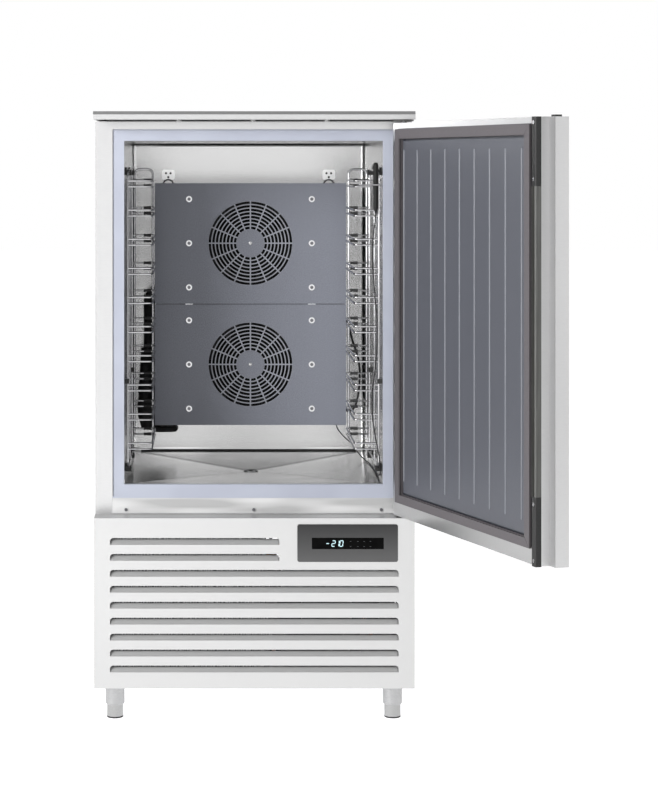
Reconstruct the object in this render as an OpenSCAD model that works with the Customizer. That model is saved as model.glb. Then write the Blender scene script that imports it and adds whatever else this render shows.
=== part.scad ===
// Blast chiller with one hinged door, two tray racks, an evaporator with two fans and a louvred machine base.
// X is to the right, Y is to the back and Z is up, in millimetres. The pieces of the door are drawn in its closed
// place and turned open about the hinge.

/* [Body] */
// width of the body and of the base
body_width = 790; // [780:1:820]
// front of the body behind the closed door
body_front = -328; // [-334:1:-322]
// back of the body and of the base
body_back = 400; // [395:1:430]
// underside of the body, on the deck of the base
body_bottom = 503; // [499:1:507]
// height of the body
body_height = 978; // [970:1:990]
// sheet of the outer panels
shell_sheet = 1.2; // [0.8:0.1:1.5]
// wall of the body beside the cavity
side_wall = 72; // [69:1:75]
// wall of the body behind the cavity
back_wall = 78; // [72:1:82]
// wall of the body over the cavity
roof_wall = 48; // [43:1:53]

/* [Cavity] */
// height of the rim of the cavity floor over the underside of the body
floor_height = 73; // [70:1:77]
// sheet of the liner
liner_sheet = 1; // [0.8:0.1:1.5]
// cove of the rear corners
cove_radius = 10; // [6:1:16]
// fall of the floor to its drain
floor_fall = 13; // [8:1:16]
// sheet of the floor
floor_sheet = 1; // [0.8:0.1:1.2]
// upstand of the floor against the walls
floor_upstand = 10; // [6:1:14]
// outside diameter of the drain pipe
drain_dia = 36; // [32:1:42]
// wall of the drain pipe
drain_wall = 1.5; // [1:0.1:3]
// height of the end of the drain pipe over the pan of the base
drain_gap = 25; // [15:1:38]

/* [Front frame] */
// width of the frame band beside the cavity
frame_band = 29; // [26:1:32]
// height of the underside of the frame over the underside of the body
frame_low = 39; // [36:1:42]
// distance of the top of the frame from the top of the body
frame_high = 19; // [15:1:21]
// depth of the frame
frame_depth = 12; // [10:1:16]
// width of the shadow rebate on its outer edge
rebate_width = 4; // [3:0.5:6]
// depth of that rebate
rebate_depth = 4; // [2:0.5:6]
// width of the heater groove in its back
groove_width = 5; // [4.6:0.1:6]
// diameter of the heater wire
heater_dia = 4; // [3:0.1:4.4]
// offset of the heater from the edge of the cavity
heater_offset = 14; // [10:0.5:18]
// projection of the sill trim
trim_depth = 3.5; // [2:0.1:5]
// height of the flat part of the sill trim
trim_flat = 15; // [12:1:18]
// distance of the outer screws of the sill trim from its ends
trim_screw = 34; // [28:1:40]

/* [Worktop] */
// gap under the worktop
worktop_gap = 4; // [3.8:0.1:6]
// thickness of the worktop
worktop_thickness = 20; // [18:1:30]
// overhang of the worktop at each side
worktop_overhang = 2; // [0:0.5:6]
// sheet of the worktop
worktop_sheet = 1.2; // [1:0.1:1.5]
// height of the sloped upper part of its front edge
edge_slope = 8; // [5:0.5:10]
// diameter of a spacer
spacer_dia = 14; // [10:1:20]

/* [Door] */
// angle of the open door
door_open = 109.5; // [0:0.5:115]
// gap from the body to the inner face of the door
door_gap = 12; // [11.5:0.1:14]
// thickness of the door
door_thickness = 60; // [56:1:64]
// distance of the hinge edge of the door from the side of the body
door_inset = 12; // [10:0.5:14]
// distance of the underside of the door from the underside of the body
door_low = 4; // [4:0.5:9]
// distance of the top of the door from the top of the body
door_high = 5; // [4:0.5:9]
// width of the finger lip at the free edge
lip_width = 26; // [20:1:30]
// thickness of the finger lip
lip_thickness = 33; // [28:1:38]
// sheet of the door
door_sheet = 1.2; // [0.8:0.1:1.5]
// distance of the hinge axis from the edge of the door
hinge_inset = 10; // [9:0.5:12]
// distance of the hinge axis from the inner face of the door
hinge_depth = 26; // [24:0.5:28]
// diameter of a hinge pin
pin_dia = 10; // [8:0.5:12]
// thickness of a hinge bracket
bracket_thickness = 3; // [2.5:0.1:3.5]
// length of a bush in the door
bush_length = 20; // [18:1:26]
// wall of a bush
bush_wall = 3; // [2:0.5:4]

/* [Door lining] */
// width of the gasket
gasket_width = 25; // [23:0.5:27]
// width of the groove between the gasket and the panel
panel_groove = 5; // [4:0.5:7]
// depth of that groove
panel_groove_depth = 8; // [5:0.5:12]
// sheet of the lining
lining_sheet = 1.2; // [1:0.1:2]
// height of the panel field over the flange of the door
panel_rise = 2; // [1:0.5:4]
// number of beads
bead_count = 9; // [7:1:9]
// distance of the first bead from the hinge edge of the panel field
bead_hinge = 3.8; // [3.6:0.1:8]
// distance of the last bead from the other edge of the panel field
bead_grip = 23.2; // [18:0.1:28]
// radius of a bead
bead_radius = 3.2; // [2.5:0.1:4]
// distance of the beads from the lower edge of the panel field
bead_low = 30; // [20:1:40]
// distance of the beads from the upper edge of the panel field
bead_high = 24; // [16:1:34]

/* [Handle profile] */
// width of the profile on the inner face of the door
profile_width = 19; // [17:0.5:19.5]
// height of the profile over the inner face
profile_height = 9; // [7:0.5:10]
// projection of the profile past the end of the door
profile_overhang = 5; // [3:0.5:7]
// height that the profile wraps round the end
profile_wrap = 4.5; // [3:0.5:8]
// length of an end cap
cap_length = 150; // [120:1:180]
// wall of an end cap
cap_wall = 2.5; // [2:0.1:3]
// distance of the outer screw of a cap from its end
screw_outer = 12; // [10:0.5:18]
// distance of the inner screw of a cap from its end
screw_inner = 16; // [12:0.5:22]
// diameter of a screw head
head_dia = 8; // [6:0.5:9]

/* [Evaporator] */
// distance of the front of the fan panels from the back wall
panel_setback = 260; // [256:1:264]
// gap beside the fan panels
panel_side = 67.5; // [63:0.5:72]
// height of the fan panels over the rim of the cavity floor
panel_low = 102; // [96:1:108]
// gap over the fan panels
panel_high = 107; // [101:1:113]
// seam between the panels
panel_seam = 1.5; // [1:0.1:3]
// sheet of the panels and of the housing
panel_sheet = 1.5; // [1:0.1:2]
// inner radius of the grille
grille_inner = 38; // [34:0.5:42]
// pitch of the rings of the grille
ring_pitch = 9.6; // [8.8:0.1:10.2]
// width of a ring slot
slot_width = 6.6; // [5.6:0.1:7.4]
// number of ring slots
ring_count = 8; // [6:1:8]
// number of spokes
spoke_count = 16; // [12:2:20]
// width of a spoke
spoke_width = 3.6; // [2.4:0.1:4.4]
// distance of the screws from the sides of a fan panel
screw_side = 91.5; // [80:0.5:105]
// distance of the outer screws from the ends of a fan panel
screw_end = 44; // [38:1:52]
// diameter of a washer
washer_dia = 16; // [12:1:18]
// distance of the fin pack from the sides of the fan panels
coil_side = 17.5; // [15:0.5:25]
// depth of the fin pack
coil_depth = 140; // [130:1:145]
// distance of the fin pack from the back wall
coil_gap = 17; // [14:1:27]
// diameter of an evaporator fan
fan_dia = 200; // [180:1:210]
// gap from the panel to a fan
fan_gap = 4.5; // [3:0.5:8]
// depth of a fan
fan_depth = 28; // [22:1:32]
// hub of a fan
hub_dia = 64; // [50:1:74]
// diameter of a fan motor
motor_dia = 70; // [60:1:80]
// length of a fan motor
motor_length = 48; // [40:1:54]
// shaft of a fan motor
shaft_dia = 8; // [6:0.5:10]

/* [Racks] */
// distance of the outer wires from the wall of the cavity
rack_side = 8; // [7:0.5:10]
// width of a rack
rack_width = 61; // [53:0.5:70]
// distance of the rack from the front of the body
rack_setback = 38; // [36:1:43]
// gap between the rack and the fan panels
rack_gap = 43; // [34:1:52]
// height of the lowest wire over the rim of the cavity floor
rack_low = 37; // [30:1:44]
// distance of the top wire from the ceiling
rack_high = 74; // [68:1:78]
// distance of the highest tray wire from the top wire
runner_drop = 26; // [22:1:32]
// distance of the lowest tray wire from the lowest wire
runner_rise = 46.5; // [40:0.5:54]
// distance of the two wires of a level
runner_gap = 14.7; // [13:0.1:18]
// number of levels
runner_count = 10; // [8:1:10]
// diameter of a frame wire
frame_wire = 6; // [5:0.1:6.2]
// diameter of a tray wire
runner_wire = 5; // [4:0.1:5.5]

/* [Core probe] */
// diameter of the probe handle
probe_dia = 13; // [11:0.5:13]
// length of the probe handle
probe_length = 113; // [100:1:120]
// height of the probe handle over the rack
probe_rise = 20; // [17:1:26]
// diameter of the needle
needle_dia = 4; // [3:0.5:4]
// length of the needle
needle_length = 110; // [90:1:130]
// diameter of the probe cable
cable_dia = 3; // [3:0.1:3.4]

/* [Base] */
// underside of the base
base_bottom = 84; // [80:1:90]
// depth of the returns of the louvre panel
return_depth = 25; // [18:1:30]
// number of louvres
louvre_count = 9; // [8:1:9]
// distance of the highest louvre from the deck
louvre_high = 47.3; // [42:0.1:52]
// height of the top of the lowest louvre over the underside of the base
louvre_low = 56.5; // [50:0.5:62]
// height of a louvre
louvre_height = 16.5; // [14:0.5:18]
// margin beside the louvres
louvre_side = 40; // [34:1:50]
// gap between the short louvres and the controls
louvre_gap = 44.4; // [36:0.1:54]
// depth of a louvre tongue
louvre_depth = 10; // [8:0.5:14]
// margin beside the control bezel
bezel_side = 41.5; // [36:0.5:50]
// width of the control bezel
bezel_width = 247.5; // [240:0.5:255]
// distance of the control bezel from the deck
bezel_high = 13.8; // [10:0.1:17]
// height of the control bezel
bezel_height = 92; // [86:1:96]
// projection of the control bezel
bezel_depth = 3; // [2:0.5:5]

/* [Machine] */
// diameter of the compressor
compressor_dia = 200; // [180:1:215]
// height of the compressor shell
compressor_height = 250; // [220:1:270]
// centre of the compressor from the middle of the base
compressor_x = 170; // [160:1:180]
// centre of the compressor from the middle of the base to the back
compressor_y = 60; // [50:1:70]
// width of the condenser
condenser_width = 380; // [360:1:390]
// distance of the condenser from the side of the base
condenser_side = 45; // [40:1:55]
// height of the condenser over the pan
condenser_low = 22.8; // [18:0.1:28]
// distance of the condenser from the deck
condenser_high = 23.8; // [18:0.1:30]
// depth of the condenser
condenser_depth = 60; // [50:1:66]
// depth of the shroud
shroud_depth = 50; // [46:1:60]
// diameter of the condenser fan
cooler_dia = 300; // [280:1:306]
// diameter of the liquid receiver
receiver_dia = 100; // [90:1:115]

/* [Legs] */
// distance of the legs from the sides of the base
leg_side = 50; // [45:1:60]
// distance of the legs from the front and the back of the base
leg_setback = 60; // [52:1:70]
// diameter of a leg sleeve
sleeve_dia = 48; // [46:0.5:50]
// length of a leg sleeve
sleeve_length = 51; // [45:1:55]
// diameter of a foot
foot_dia = 40.6; // [38:0.1:42]
// thickness of the pad of a foot
pad_thickness = 4; // [3:0.5:6]

/* [Fits] */
// gap of the closed gasket
gasket_gap = 0.3; // [0.3:0.05:1]
// gap of a curved rest
rest_gap = 0.3; // [0.3:0.05:0.5]
// radial gap of a running fit
run_gap = 0.08; // [0.05:0.01:0.1]
// radial gap of a pipe in its hole
pass_gap = 0.5; // [0.3:0.1:1]

/* [Hidden] */
$fn = 48;
hw = body_width / 2;
body_top = body_bottom + body_height;
body_middle = (body_front + body_back) / 2;
cw = hw - side_wall;
cavity_back = body_back - back_wall;
cavity_bottom = body_bottom + floor_height;
cavity_top = body_top - roof_wall;
fw = cw + frame_band;
frame_bottom = body_bottom + frame_low;
frame_top = body_top - frame_high;
frame_back = body_front + frame_depth;
trim_screws = [-(fw - trim_screw), 0, fw - trim_screw];
door_in = body_front - door_gap;
door_out = door_in - door_thickness;
door_right = hw - door_inset;
door_bottom = body_bottom + door_low;
door_top = body_top - door_high;
lip_out = -hw;
door_left = lip_out + lip_width;
lip_in = door_out + lip_thickness;
axis_x = door_right - hinge_inset;
axis_y = door_in - hinge_depth;
deck_sheet = 1.2;
deck_under = body_bottom - deck_sheet;
pan_top = base_bottom + deck_sheet;
drain_level = cavity_bottom - floor_fall;
drain_end = pan_top + drain_gap;
top_under = body_top + worktop_gap;
top_face = top_under + worktop_thickness;
rib_half = 22;
ribs = [body_front + 26, body_middle, body_back - 46];
panel_front = cavity_back - panel_setback;
panel_back = panel_front + panel_sheet;
panel_bottom = cavity_bottom + panel_low;
panel_pitch = (cavity_top - panel_high - panel_bottom) / 2;
pw = cw - panel_side;
screw_column = pw - screw_side;
screw_row = panel_pitch / 2 - screw_end;
housing_x = pw - panel_sheet;
housing_top = panel_bottom + 2 * panel_pitch - 12;
housing_base = panel_bottom + 12;
coil_back = cavity_back - coil_gap;
coil_front = coil_back - coil_depth;
coil_width = 2 * (pw - coil_side);
fan_z = [panel_bottom + panel_pitch / 2, panel_bottom + panel_pitch * 1.5];
fan_front = panel_back + fan_gap;
wall_mid = cavity_back + 38;
pipe_dia = 28;
pipe_bend = 17;
pipe_y = cavity_back - 82;
pipe_x = -(housing_x - 14);
pipe_side = -(housing_x + pipe_dia / 2 + 8);
pipe_low = panel_bottom - 9;
line_dia = 16;
line_bend = 14;
line_y = cavity_back - 37;
line_x = -(housing_x - 49);
line_side = -(housing_x + line_dia / 2 + 8);
line_low = panel_bottom - 38;
riser_y = wall_mid;
riser_end = deck_under - 11.8;
outlet_x = housing_x + 26;
outlet_z = panel_bottom + 12;
gasket_half = -door_left - profile_width - 0.5;
gasket_low = frame_bottom + 0.5;
gasket_high = frame_top - 0.5;
seal_half = gasket_half - gasket_width;
seal_low = gasket_low + gasket_width - 2.5;
seal_high = gasket_high - gasket_width - 0.5;
field_half = seal_half - panel_groove;
field_low = seal_low + panel_groove;
field_high = seal_high - panel_groove;
bead_pitch = (2 * field_half - bead_hinge - bead_grip) / (bead_count - 1);
bead_bottom = field_low + bead_low;
bead_top = field_high - bead_high;
rack_outer = cw - rack_side;
rack_inner = rack_outer - rack_width;
rack_front = body_front + rack_setback;
rack_back = panel_front - rack_gap;
rack_bottom = cavity_bottom + rack_low;
rack_top = cavity_top - rack_high;
runner_top = rack_top - runner_drop;
runner_pitch = (runner_top - runner_gap - rack_bottom - runner_rise) / (runner_count - 1);
clip_z = rack_bottom + 211;
handle_x = rack_outer - 8;
handle_y = rack_front - frame_wire / 2 - probe_dia / 2;
probe_top = rack_top + probe_rise;
probe_bottom = probe_top - probe_length;
boot_length = 16;
cable_end = housing_base - 14;
gland_x = housing_x - 18;
gland_y = cavity_back - 172;
louvre_half = hw - louvre_side;
louvre_top = deck_under - louvre_high;
louvre_pitch = (louvre_top - base_bottom - louvre_low) / (louvre_count - 1);
bezel_left = hw - bezel_side - bezel_width;
bezel_bottom = deck_under - bezel_high - bezel_height;
louvre_short = bezel_left - louvre_gap;
compressor_top = pan_top + 22 + compressor_height + 15;
condenser_height = deck_under - pan_top - condenser_low - condenser_high;
cooler_x = -hw + condenser_side + condenser_width / 2;
cooler_z = pan_top + condenser_low + condenser_height / 2;
coil_face = door_out + 28;
shroud_face = coil_face + condenser_depth;
shroud_back = shroud_face + shroud_depth;
receiver_x = hw - 85;
receiver_y = body_back - 150;
receiver_shell = compressor_height - 50;
receiver_top = pan_top + receiver_shell + 84;
low_lines = compressor_top + 28;
high_lines = compressor_top + 68;
feed_z = pan_top + 65;
line_front = coil_face + 172;
mains_x = hw - 45;
mains_z = pan_top + 65;
leg_x = hw - leg_side;
spokes = [for (k = [0:spoke_count - 1]) k * 360 / spoke_count];

function unit(v) = v / norm(v);
// Angles that turn the X, Y and Z axes to the directions x, y and z.
function turned(x, y, z) =
  abs(x[2]) > 0.9999
    ? [atan2(-sign(x[2]) * y[0], -sign(x[2]) * z[0]), -90 * sign(x[2]), 0]
    : [atan2(y[2], z[2]), asin(-x[2]), atan2(x[1], x[0])];
function bent(a, b, c) = acos(max(-1, min(1, unit(b - a) * unit(c - b))));
function cut(a, b, c, r) = r * tan(bent(a, b, c) / 2);

module box(a, b) { translate(a) cube(b - a); }

module rod(a, b, dia) {
  d = unit(b - a);
  translate(a) rotate([0, acos(d[2]), atan2(d[1], d[0])]) cylinder(d = dia, h = norm(b - a));
}

module bend(a, b, c, dia, r) {
  d = unit(b - a);
  e = unit(c - b);
  n = unit(e - (d * e) * d);
  translate(b - d * cut(a, b, c, r) + n * r) rotate(turned(-n, d, cross(d, n)))
    rotate_extrude(angle = bent(a, b, c)) translate([r, 0]) circle(d = dia);
}

// Bent rod through the points.
module pipe(p, dia, r) {
  n = len(p);
  for (i = [0:n - 2]) {
    d = unit(p[i + 1] - p[i]);
    s = i == 0 ? 0 : cut(p[i - 1], p[i], p[i + 1], r);
    t = i == n - 2 ? 0 : cut(p[i], p[i + 1], p[i + 2], r);
    rod(p[i] + d * s, p[i + 1] - d * t, dia);
  }
  if (n > 2) for (i = [1:n - 2]) bend(p[i - 1], p[i], p[i + 1], dia, r);
}

// Closed bent rod through the points.
module loop(p, dia, r) {
  n = len(p);
  for (i = [0:n - 1]) {
    a = p[(i + n - 1) % n];
    b = p[i];
    c = p[(i + 1) % n];
    e = p[(i + 2) % n];
    d = unit(c - b);
    rod(b + d * cut(a, b, c, r), c - d * cut(b, c, e, r), dia);
    bend(a, b, c, dia, r);
  }
}

function curve(a, b, c, d, t) =
  0.5 * (2 * b + (c - a) * t + (2 * a - 5 * b + 4 * c - d) * t * t + (3 * b - a - 3 * c + d) * t * t * t);
function along(p) = let(n = len(p)) [for (i = [0:n - 2]) for (k = [0:(i < n - 2 ? 2 : 3)]) let(t = k / 3)
  curve(p[max(0, i - 1)], p[i], p[i + 1], p[min(n - 1, i + 2)], t)];
function ways(c, a, b) = let(n = len(c)) [for (i = [0:n - 1])
  i == 0 ? a : i == n - 1 ? b : unit(c[i + 1] - c[i - 1])];
function normals(w, i, m) = i >= len(w) ? [] :
  let(q = unit(m - (m * w[i]) * w[i])) concat([q], normals(w, i + 1, q));

// Flexible cable of radius r through the points, leaving along a and arriving along b.
module hose(p, r, a, b) {
  c = along(p);
  n = len(c);
  w = ways(c, a, b);
  u = normals(w, 0, abs(a[0]) > 0.5 ? [0, 0, 1] : [1, 0, 0]);
  polyhedron(
    points = [for (i = [0:n - 1]) for (k = [0:7])
      c[i] + r * (cos(k * 45) * u[i] + sin(k * 45) * cross(w[i], u[i]))],
    faces = concat([[for (k = [0:7]) k]], [[for (k = [7:-1:0]) (n - 1) * 8 + k]],
      [for (i = [0:n - 2]) for (k = [0:7]) [i * 8 + k, (i + 1) * 8 + k, i * 8 + (k + 1) % 8]],
      [for (i = [0:n - 2]) for (k = [0:7]) [i * 8 + (k + 1) % 8, (i + 1) * 8 + k, (i + 1) * 8 + (k + 1) % 8]]));
}

module plan(z0, z1) { translate([0, 0, z0]) linear_extrude(z1 - z0) children(); }

// Children drawn in Y and Z, extruded from x0 to x1.
module side(x0, x1) { translate([x0, 0, 0]) rotate([90, 0, 90]) linear_extrude(x1 - x0) children(); }

// Children drawn in X and Z, extruded from y0 to y1.
module face(y0, y1) { translate([0, y1, 0]) rotate([90, 0, 0]) linear_extrude(y1 - y0) children(); }

module cyl_y(x, y0, y1, z, dia) { translate([x, y0, z]) rotate([-90, 0, 0]) cylinder(d = dia, h = y1 - y0); }

module frame_2d(xo, z0, z1, xi, z2, z3) {
  difference() {
    translate([-xo, z0]) square([2 * xo, z1 - z0]);
    translate([-xi, z2]) square([2 * xi, z3 - z2]);
  }
}

module round_2d(x0, z0, x1, z1, r) {
  translate([x0 + r, z0]) square([x1 - x0 - 2 * r, z1 - z0]);
  translate([x0, z0 + r]) square([x1 - x0, z1 - z0 - 2 * r]);
  for (x = [x0 + r, x1 - r]) for (z = [z0 + r, z1 - r]) translate([x, z]) circle(r = r);
}

// Turns a piece of the door from its closed place to its open one.
module hung() {
  translate([axis_x, axis_y, 0]) rotate([0, 0, door_open]) translate([-axis_x, -axis_y, 0]) children();
}

module mirrored() {
  children();
  mirror([1, 0, 0]) children();
}

// Plan of the cavity, grown by g, with coved rear corners.
module cavity_plan(g, y0) {
  r = cove_radius + g;
  x = cw + g;
  y = cavity_back + g;
  translate([-x, y0]) square([2 * x, y - r - y0]);
  translate([-x + r, y0]) square([2 * x - 2 * r, y - y0]);
  for (s = [-1, 1]) translate([s * (x - r), y - r]) circle(r = r);
}

module cavity_form(g, y0, z0) {
  r = cove_radius + g;
  intersection() {
    plan(z0, cavity_top + g) cavity_plan(g, y0);
    side(-cw - g - 1, cw + g + 1) {
      translate([y0, z0]) square([cavity_back + g - r - y0, cavity_top + g - z0]);
      translate([y0, z0]) square([cavity_back + g - y0, cavity_top + g - r - z0]);
      translate([cavity_back + g - r, cavity_top + g - r]) circle(r = r);
    }
  }
}

// Everything over the four sloped planes of the floor, moved down by t.
module over_floor(t) {
  big = body_width + body_back;
  slopes = [[0, -atan(floor_fall / cw)], [0, atan(floor_fall / cw)],
            [atan(floor_fall / cavity_back), 0], [-atan(floor_fall / -frame_back), 0]];
  translate([0, 0, drain_level - t]) intersection_for (s = slopes)
    rotate([s[0], s[1], 0]) translate([-big, -big, 0]) cube([2 * big, 2 * big, big]);
}

module pipe_holes(g) {
  pipe([[pipe_x, pipe_y + 30, pipe_low], [pipe_x, riser_y, pipe_low], [pipe_x, riser_y, riser_end - 10]],
    pipe_dia + 2 * g, pipe_bend);
  pipe([[line_x, line_y + 15, line_low], [line_x, riser_y, line_low], [line_x, riser_y, riser_end - 20]],
    line_dia + 2 * g, line_bend);
}

module outer_shell() {
  t = shell_sheet;
  color("silver") difference() {
    box([-hw, body_front, body_bottom], [hw, body_back, body_top]);
    box([-hw + t, body_front + t, body_bottom + t], [hw - t, body_back - t, body_top - t]);
    box([-fw, body_front - 1, frame_bottom], [fw, body_front + t + 1, frame_top]);
    cylinder(d = drain_dia + 2 * pass_gap, h = body_bottom + 10);
    pipe_holes(pass_gap);
  }
}

module foam_core() {
  t = shell_sheet;
  color("khaki") difference() {
    box([-hw + t, body_front + t, body_bottom + t], [hw - t, body_back - t, body_top - t]);
    box([-fw, body_front - 1, frame_bottom], [fw, frame_back, frame_top]);
    cavity_form(liner_sheet, frame_back - 1, cavity_bottom - floor_sheet);
    intersection() {
      plan(drain_level - 20, cavity_bottom) cavity_plan(0, frame_back - 1);
      over_floor(floor_sheet);
    }
    cylinder(d = drain_dia + 2 * pass_gap, h = cavity_bottom);
    pipe_holes(pass_gap);
    cyl_y(outlet_x, cavity_back - 1, wall_mid, outlet_z, 8);
  }
}

module liner() {
  color("lightgray") difference() {
    cavity_form(liner_sheet, frame_back, cavity_bottom - floor_sheet);
    cavity_form(0, frame_back - 1, cavity_bottom - floor_sheet - 1);
    pipe_holes(pass_gap);
    cyl_y(outlet_x, cavity_back - 5, wall_mid, outlet_z, 8);
  }
}

module floor_basin() {
  z1 = cavity_bottom + floor_upstand;
  color("gainsboro") difference() {
    union() {
      intersection() {
        plan(drain_level - 20, z1) cavity_plan(0, frame_back);
        over_floor(floor_sheet);
      }
      translate([0, 0, drain_end]) cylinder(d = drain_dia, h = drain_level - drain_end);
    }
    intersection() {
      plan(drain_level - 20, z1 + 1) cavity_plan(-floor_sheet, frame_back - 1);
      over_floor(0);
    }
    translate([0, 0, drain_end - 1]) cylinder(d = drain_dia - 2 * drain_wall, h = drain_level - drain_end + 20);
  }
}

module front_frame() {
  w = rebate_width;
  h = cw + heater_offset;
  g = groove_width / 2;
  color("lavender") difference() {
    face(body_front, frame_back) frame_2d(fw, frame_bottom, frame_top, cw, cavity_bottom, cavity_top);
    face(body_front - 1, body_front + rebate_depth)
      frame_2d(fw + 1, frame_bottom + 4, frame_top + 1, fw - w, frame_bottom + 3, frame_top - w);
    face(frame_back - groove_width, frame_back + 1) frame_2d(h + g, cavity_bottom - heater_offset - g,
      cavity_top + heater_offset + g, h - g, cavity_bottom - heater_offset + g, cavity_top + heater_offset - g);
  }
}

module frame_heater() {
  x = cw + heater_offset;
  z0 = cavity_bottom - heater_offset;
  z1 = cavity_top + heater_offset;
  y = frame_back - groove_width / 2;
  color("white") loop([[-x, y, z0], [x, y, z0], [x, y, z1], [-x, y, z1]], heater_dia, 3.2);
}

module sill_trim() {
  z = body_bottom + 2;
  y = body_front - trim_depth;
  color("white") difference() {
    side(-fw, fw) polygon([[body_front, z], [y, z], [y, z + trim_flat], [body_front - 0.8, frame_bottom],
      [body_front, frame_bottom]]);
    for (x = trim_screws) cyl_y(x, y - 1, body_front + 1, z + 8.5, 4.2);
  }
}

module worktop() {
  x = hw + worktop_overhang;
  t = worktop_sheet;
  e = 3;
  z = top_face;
  color("silver") {
    difference() {
      side(-x, x) polygon([[door_out, top_under], [door_out, z - edge_slope], [door_out + e, z], [body_back, z],
        [body_back, top_under]]);
      side(-x + t, x - t) polygon([[door_out + t, top_under + t], [door_out + t, z - edge_slope - 0.2],
        [door_out + e + 0.8, z - t], [body_back - t, z - t], [body_back - t, top_under + t]]);
      box([-x + 28, door_out + 28, top_under - 1], [x - 28, body_back - 28, top_under + 2 * t]);
    }
    for (y = ribs) difference() {
      box([-x + 20, y - rib_half, top_under], [x - 20, y + rib_half, z - t / 2]);
      box([-x + 19, y - rib_half + t, top_under + t], [x - 19, y + rib_half - t, z]);
    }
  }
}

module worktop_spacers() {
  color("white") for (y = [body_front + 14, ribs[1], ribs[2]]) for (x = [-186, 0, 184])
    translate([x, y, body_top]) cylinder(d = spacer_dia, h = worktop_gap);
}

module hinge_brackets() {
  x0 = fw + 0.5;
  y0 = door_out + 8;
  t = bracket_thickness;
  color("dimgray") {
    box([axis_x - 28, y0, body_top], [hw - 2, body_front + 30, body_top + t]);
    translate([axis_x, axis_y, body_top - 17]) cylinder(d = pin_dia, h = 18);
    box([x0, y0, body_bottom], [hw - 2, body_front - rest_gap, body_bottom + t]);
    translate([axis_x, axis_y, body_bottom + 1]) cylinder(d = pin_dia, h = t + 15);
  }
}

// Plan of the door, inset by t.
module door_plan(t) {
  polygon([[lip_out + t, door_out + t], [door_right - t, door_out + t], [door_right - t, door_in - t],
    [door_left + t, door_in - t], [door_left + t, lip_in - t], [lip_out + t, lip_in - t]]);
}

module bush_seats(g) {
  for (z = [door_bottom - 1, door_top - bush_length]) translate([axis_x, axis_y, z])
    cylinder(d = pin_dia + 2 * run_gap + 2 * bush_wall + 2 * g, h = bush_length + 1);
}

module door_skin() {
  t = door_sheet;
  color("silver") hung() difference() {
    plan(door_bottom, door_top) door_plan(0);
    plan(door_bottom + t, door_top - t) door_plan(t);
    box([-fw, door_in - t - 1, frame_bottom], [fw, door_in + 1, frame_top]);
    bush_seats(0);
  }
}

module lining_panel() {
  g = panel_groove + lining_sheet;
  face(door_in - door_sheet, door_in) frame_2d(fw, frame_bottom, frame_top, field_half, field_low, field_high);
  face(door_in - panel_groove_depth, door_in) frame_2d(field_half + g, field_low - g, field_high + g,
    field_half - 2, field_low + 2, field_high - 2);
  box([-field_half, door_in - door_sheet, field_low], [field_half, door_in + panel_rise, field_high]);
}

module door_liner() {
  y = door_in + panel_rise - bead_radius * 0.4;
  color("slategray") hung() {
    difference() {
      lining_panel();
      face(door_in - panel_groove_depth + lining_sheet, door_in + 3) frame_2d(field_half + panel_groove,
        field_low - panel_groove, field_high + panel_groove, field_half, field_low, field_high);
    }
    intersection() {
      box([-fw, door_in, frame_bottom], [fw, body_front, frame_top]);
      for (k = [0:bead_count - 1]) translate([field_half - bead_hinge - k * bead_pitch, y, 0]) {
        translate([0, 0, bead_bottom]) cylinder(r = bead_radius, h = bead_top - bead_bottom);
        for (z = [bead_bottom, bead_top]) translate([0, 0, z]) sphere(r = bead_radius);
      }
    }
  }
}

module door_foam() {
  t = door_sheet;
  color("khaki") hung() difference() {
    plan(door_bottom + t, door_top - t) door_plan(t);
    lining_panel();
    box([-fw, door_in - t, frame_bottom], [fw, door_in + 1, frame_top]);
    bush_seats(0);
  }
}

module door_gasket() {
  y1 = body_front - gasket_gap;
  color("thistle") hung() difference() {
    for (e = [[door_in, door_in + 3.5, 0], [door_in + 3, y1 - 3.5, 4], [y1 - 4, y1, 1]]) face(e[0], e[1])
      frame_2d(gasket_half - e[2], gasket_low + e[2], gasket_high - e[2], seal_half + e[2], seal_low - e[2],
        seal_high + e[2]);
    for (s = [-1, 1]) for (z = [[gasket_low, 1], [gasket_high, -1]])
      translate([s * gasket_half, y1 - 0.5, z[0]]) rotate([0, s * z[1] > 0 ? 45 : -45, 0])
        box([-45, 0, -0.4], [45, 2, 0.4]);
  }
}

profile_x = door_left + profile_width;
function cap_points(g) = let(x = profile_x, e = door_left - profile_overhang, y = door_in + profile_height)
  [[x - g, door_in], [x - 3 - g, y - 2.5 - g * 0.3], [x - 6 - g, y - g], [e + 1 + g, y - g], [e + g, y - 1 - g],
   [e + g, door_in - profile_wrap], [door_left, door_in - profile_wrap], [door_left, door_in]];
screw_z = [door_bottom + screw_outer, door_bottom + cap_length - screw_inner, door_top - cap_length + screw_inner,
           door_top - screw_outer];
screw_x = (profile_x + door_left - profile_overhang) / 2;

module handle_profile() {
  y = door_in + profile_height;
  color("dimgray") hung() difference() {
    union() {
      plan(door_bottom, door_top) polygon(cap_points(cap_wall));
      plan(door_bottom + cap_length, door_top - cap_length) polygon(cap_points(0));
    }
    box([screw_x - 5.5, door_in + 4, door_bottom + cap_length - 1],
      [screw_x + 4.5, y + 1, door_top - cap_length + 1]);
    box([screw_x - 3.5, door_in - 1, door_bottom + cap_length + 4],
      [screw_x + 1.5, y, door_top - cap_length - 4]);
    for (z = screw_z) cyl_y(screw_x, door_in - 1, y, z, 4.2);
  }
}

module handle_caps() {
  y = door_in + profile_height;
  color("black") hung() difference() {
    for (z = [door_bottom, door_top - cap_length]) plan(z, z + cap_length) difference() {
      polygon(cap_points(0));
      polygon(cap_points(cap_wall));
    }
    for (z = screw_z) cyl_y(screw_x, door_in, y + 1, z, head_dia + 0.6);
  }
}

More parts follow.
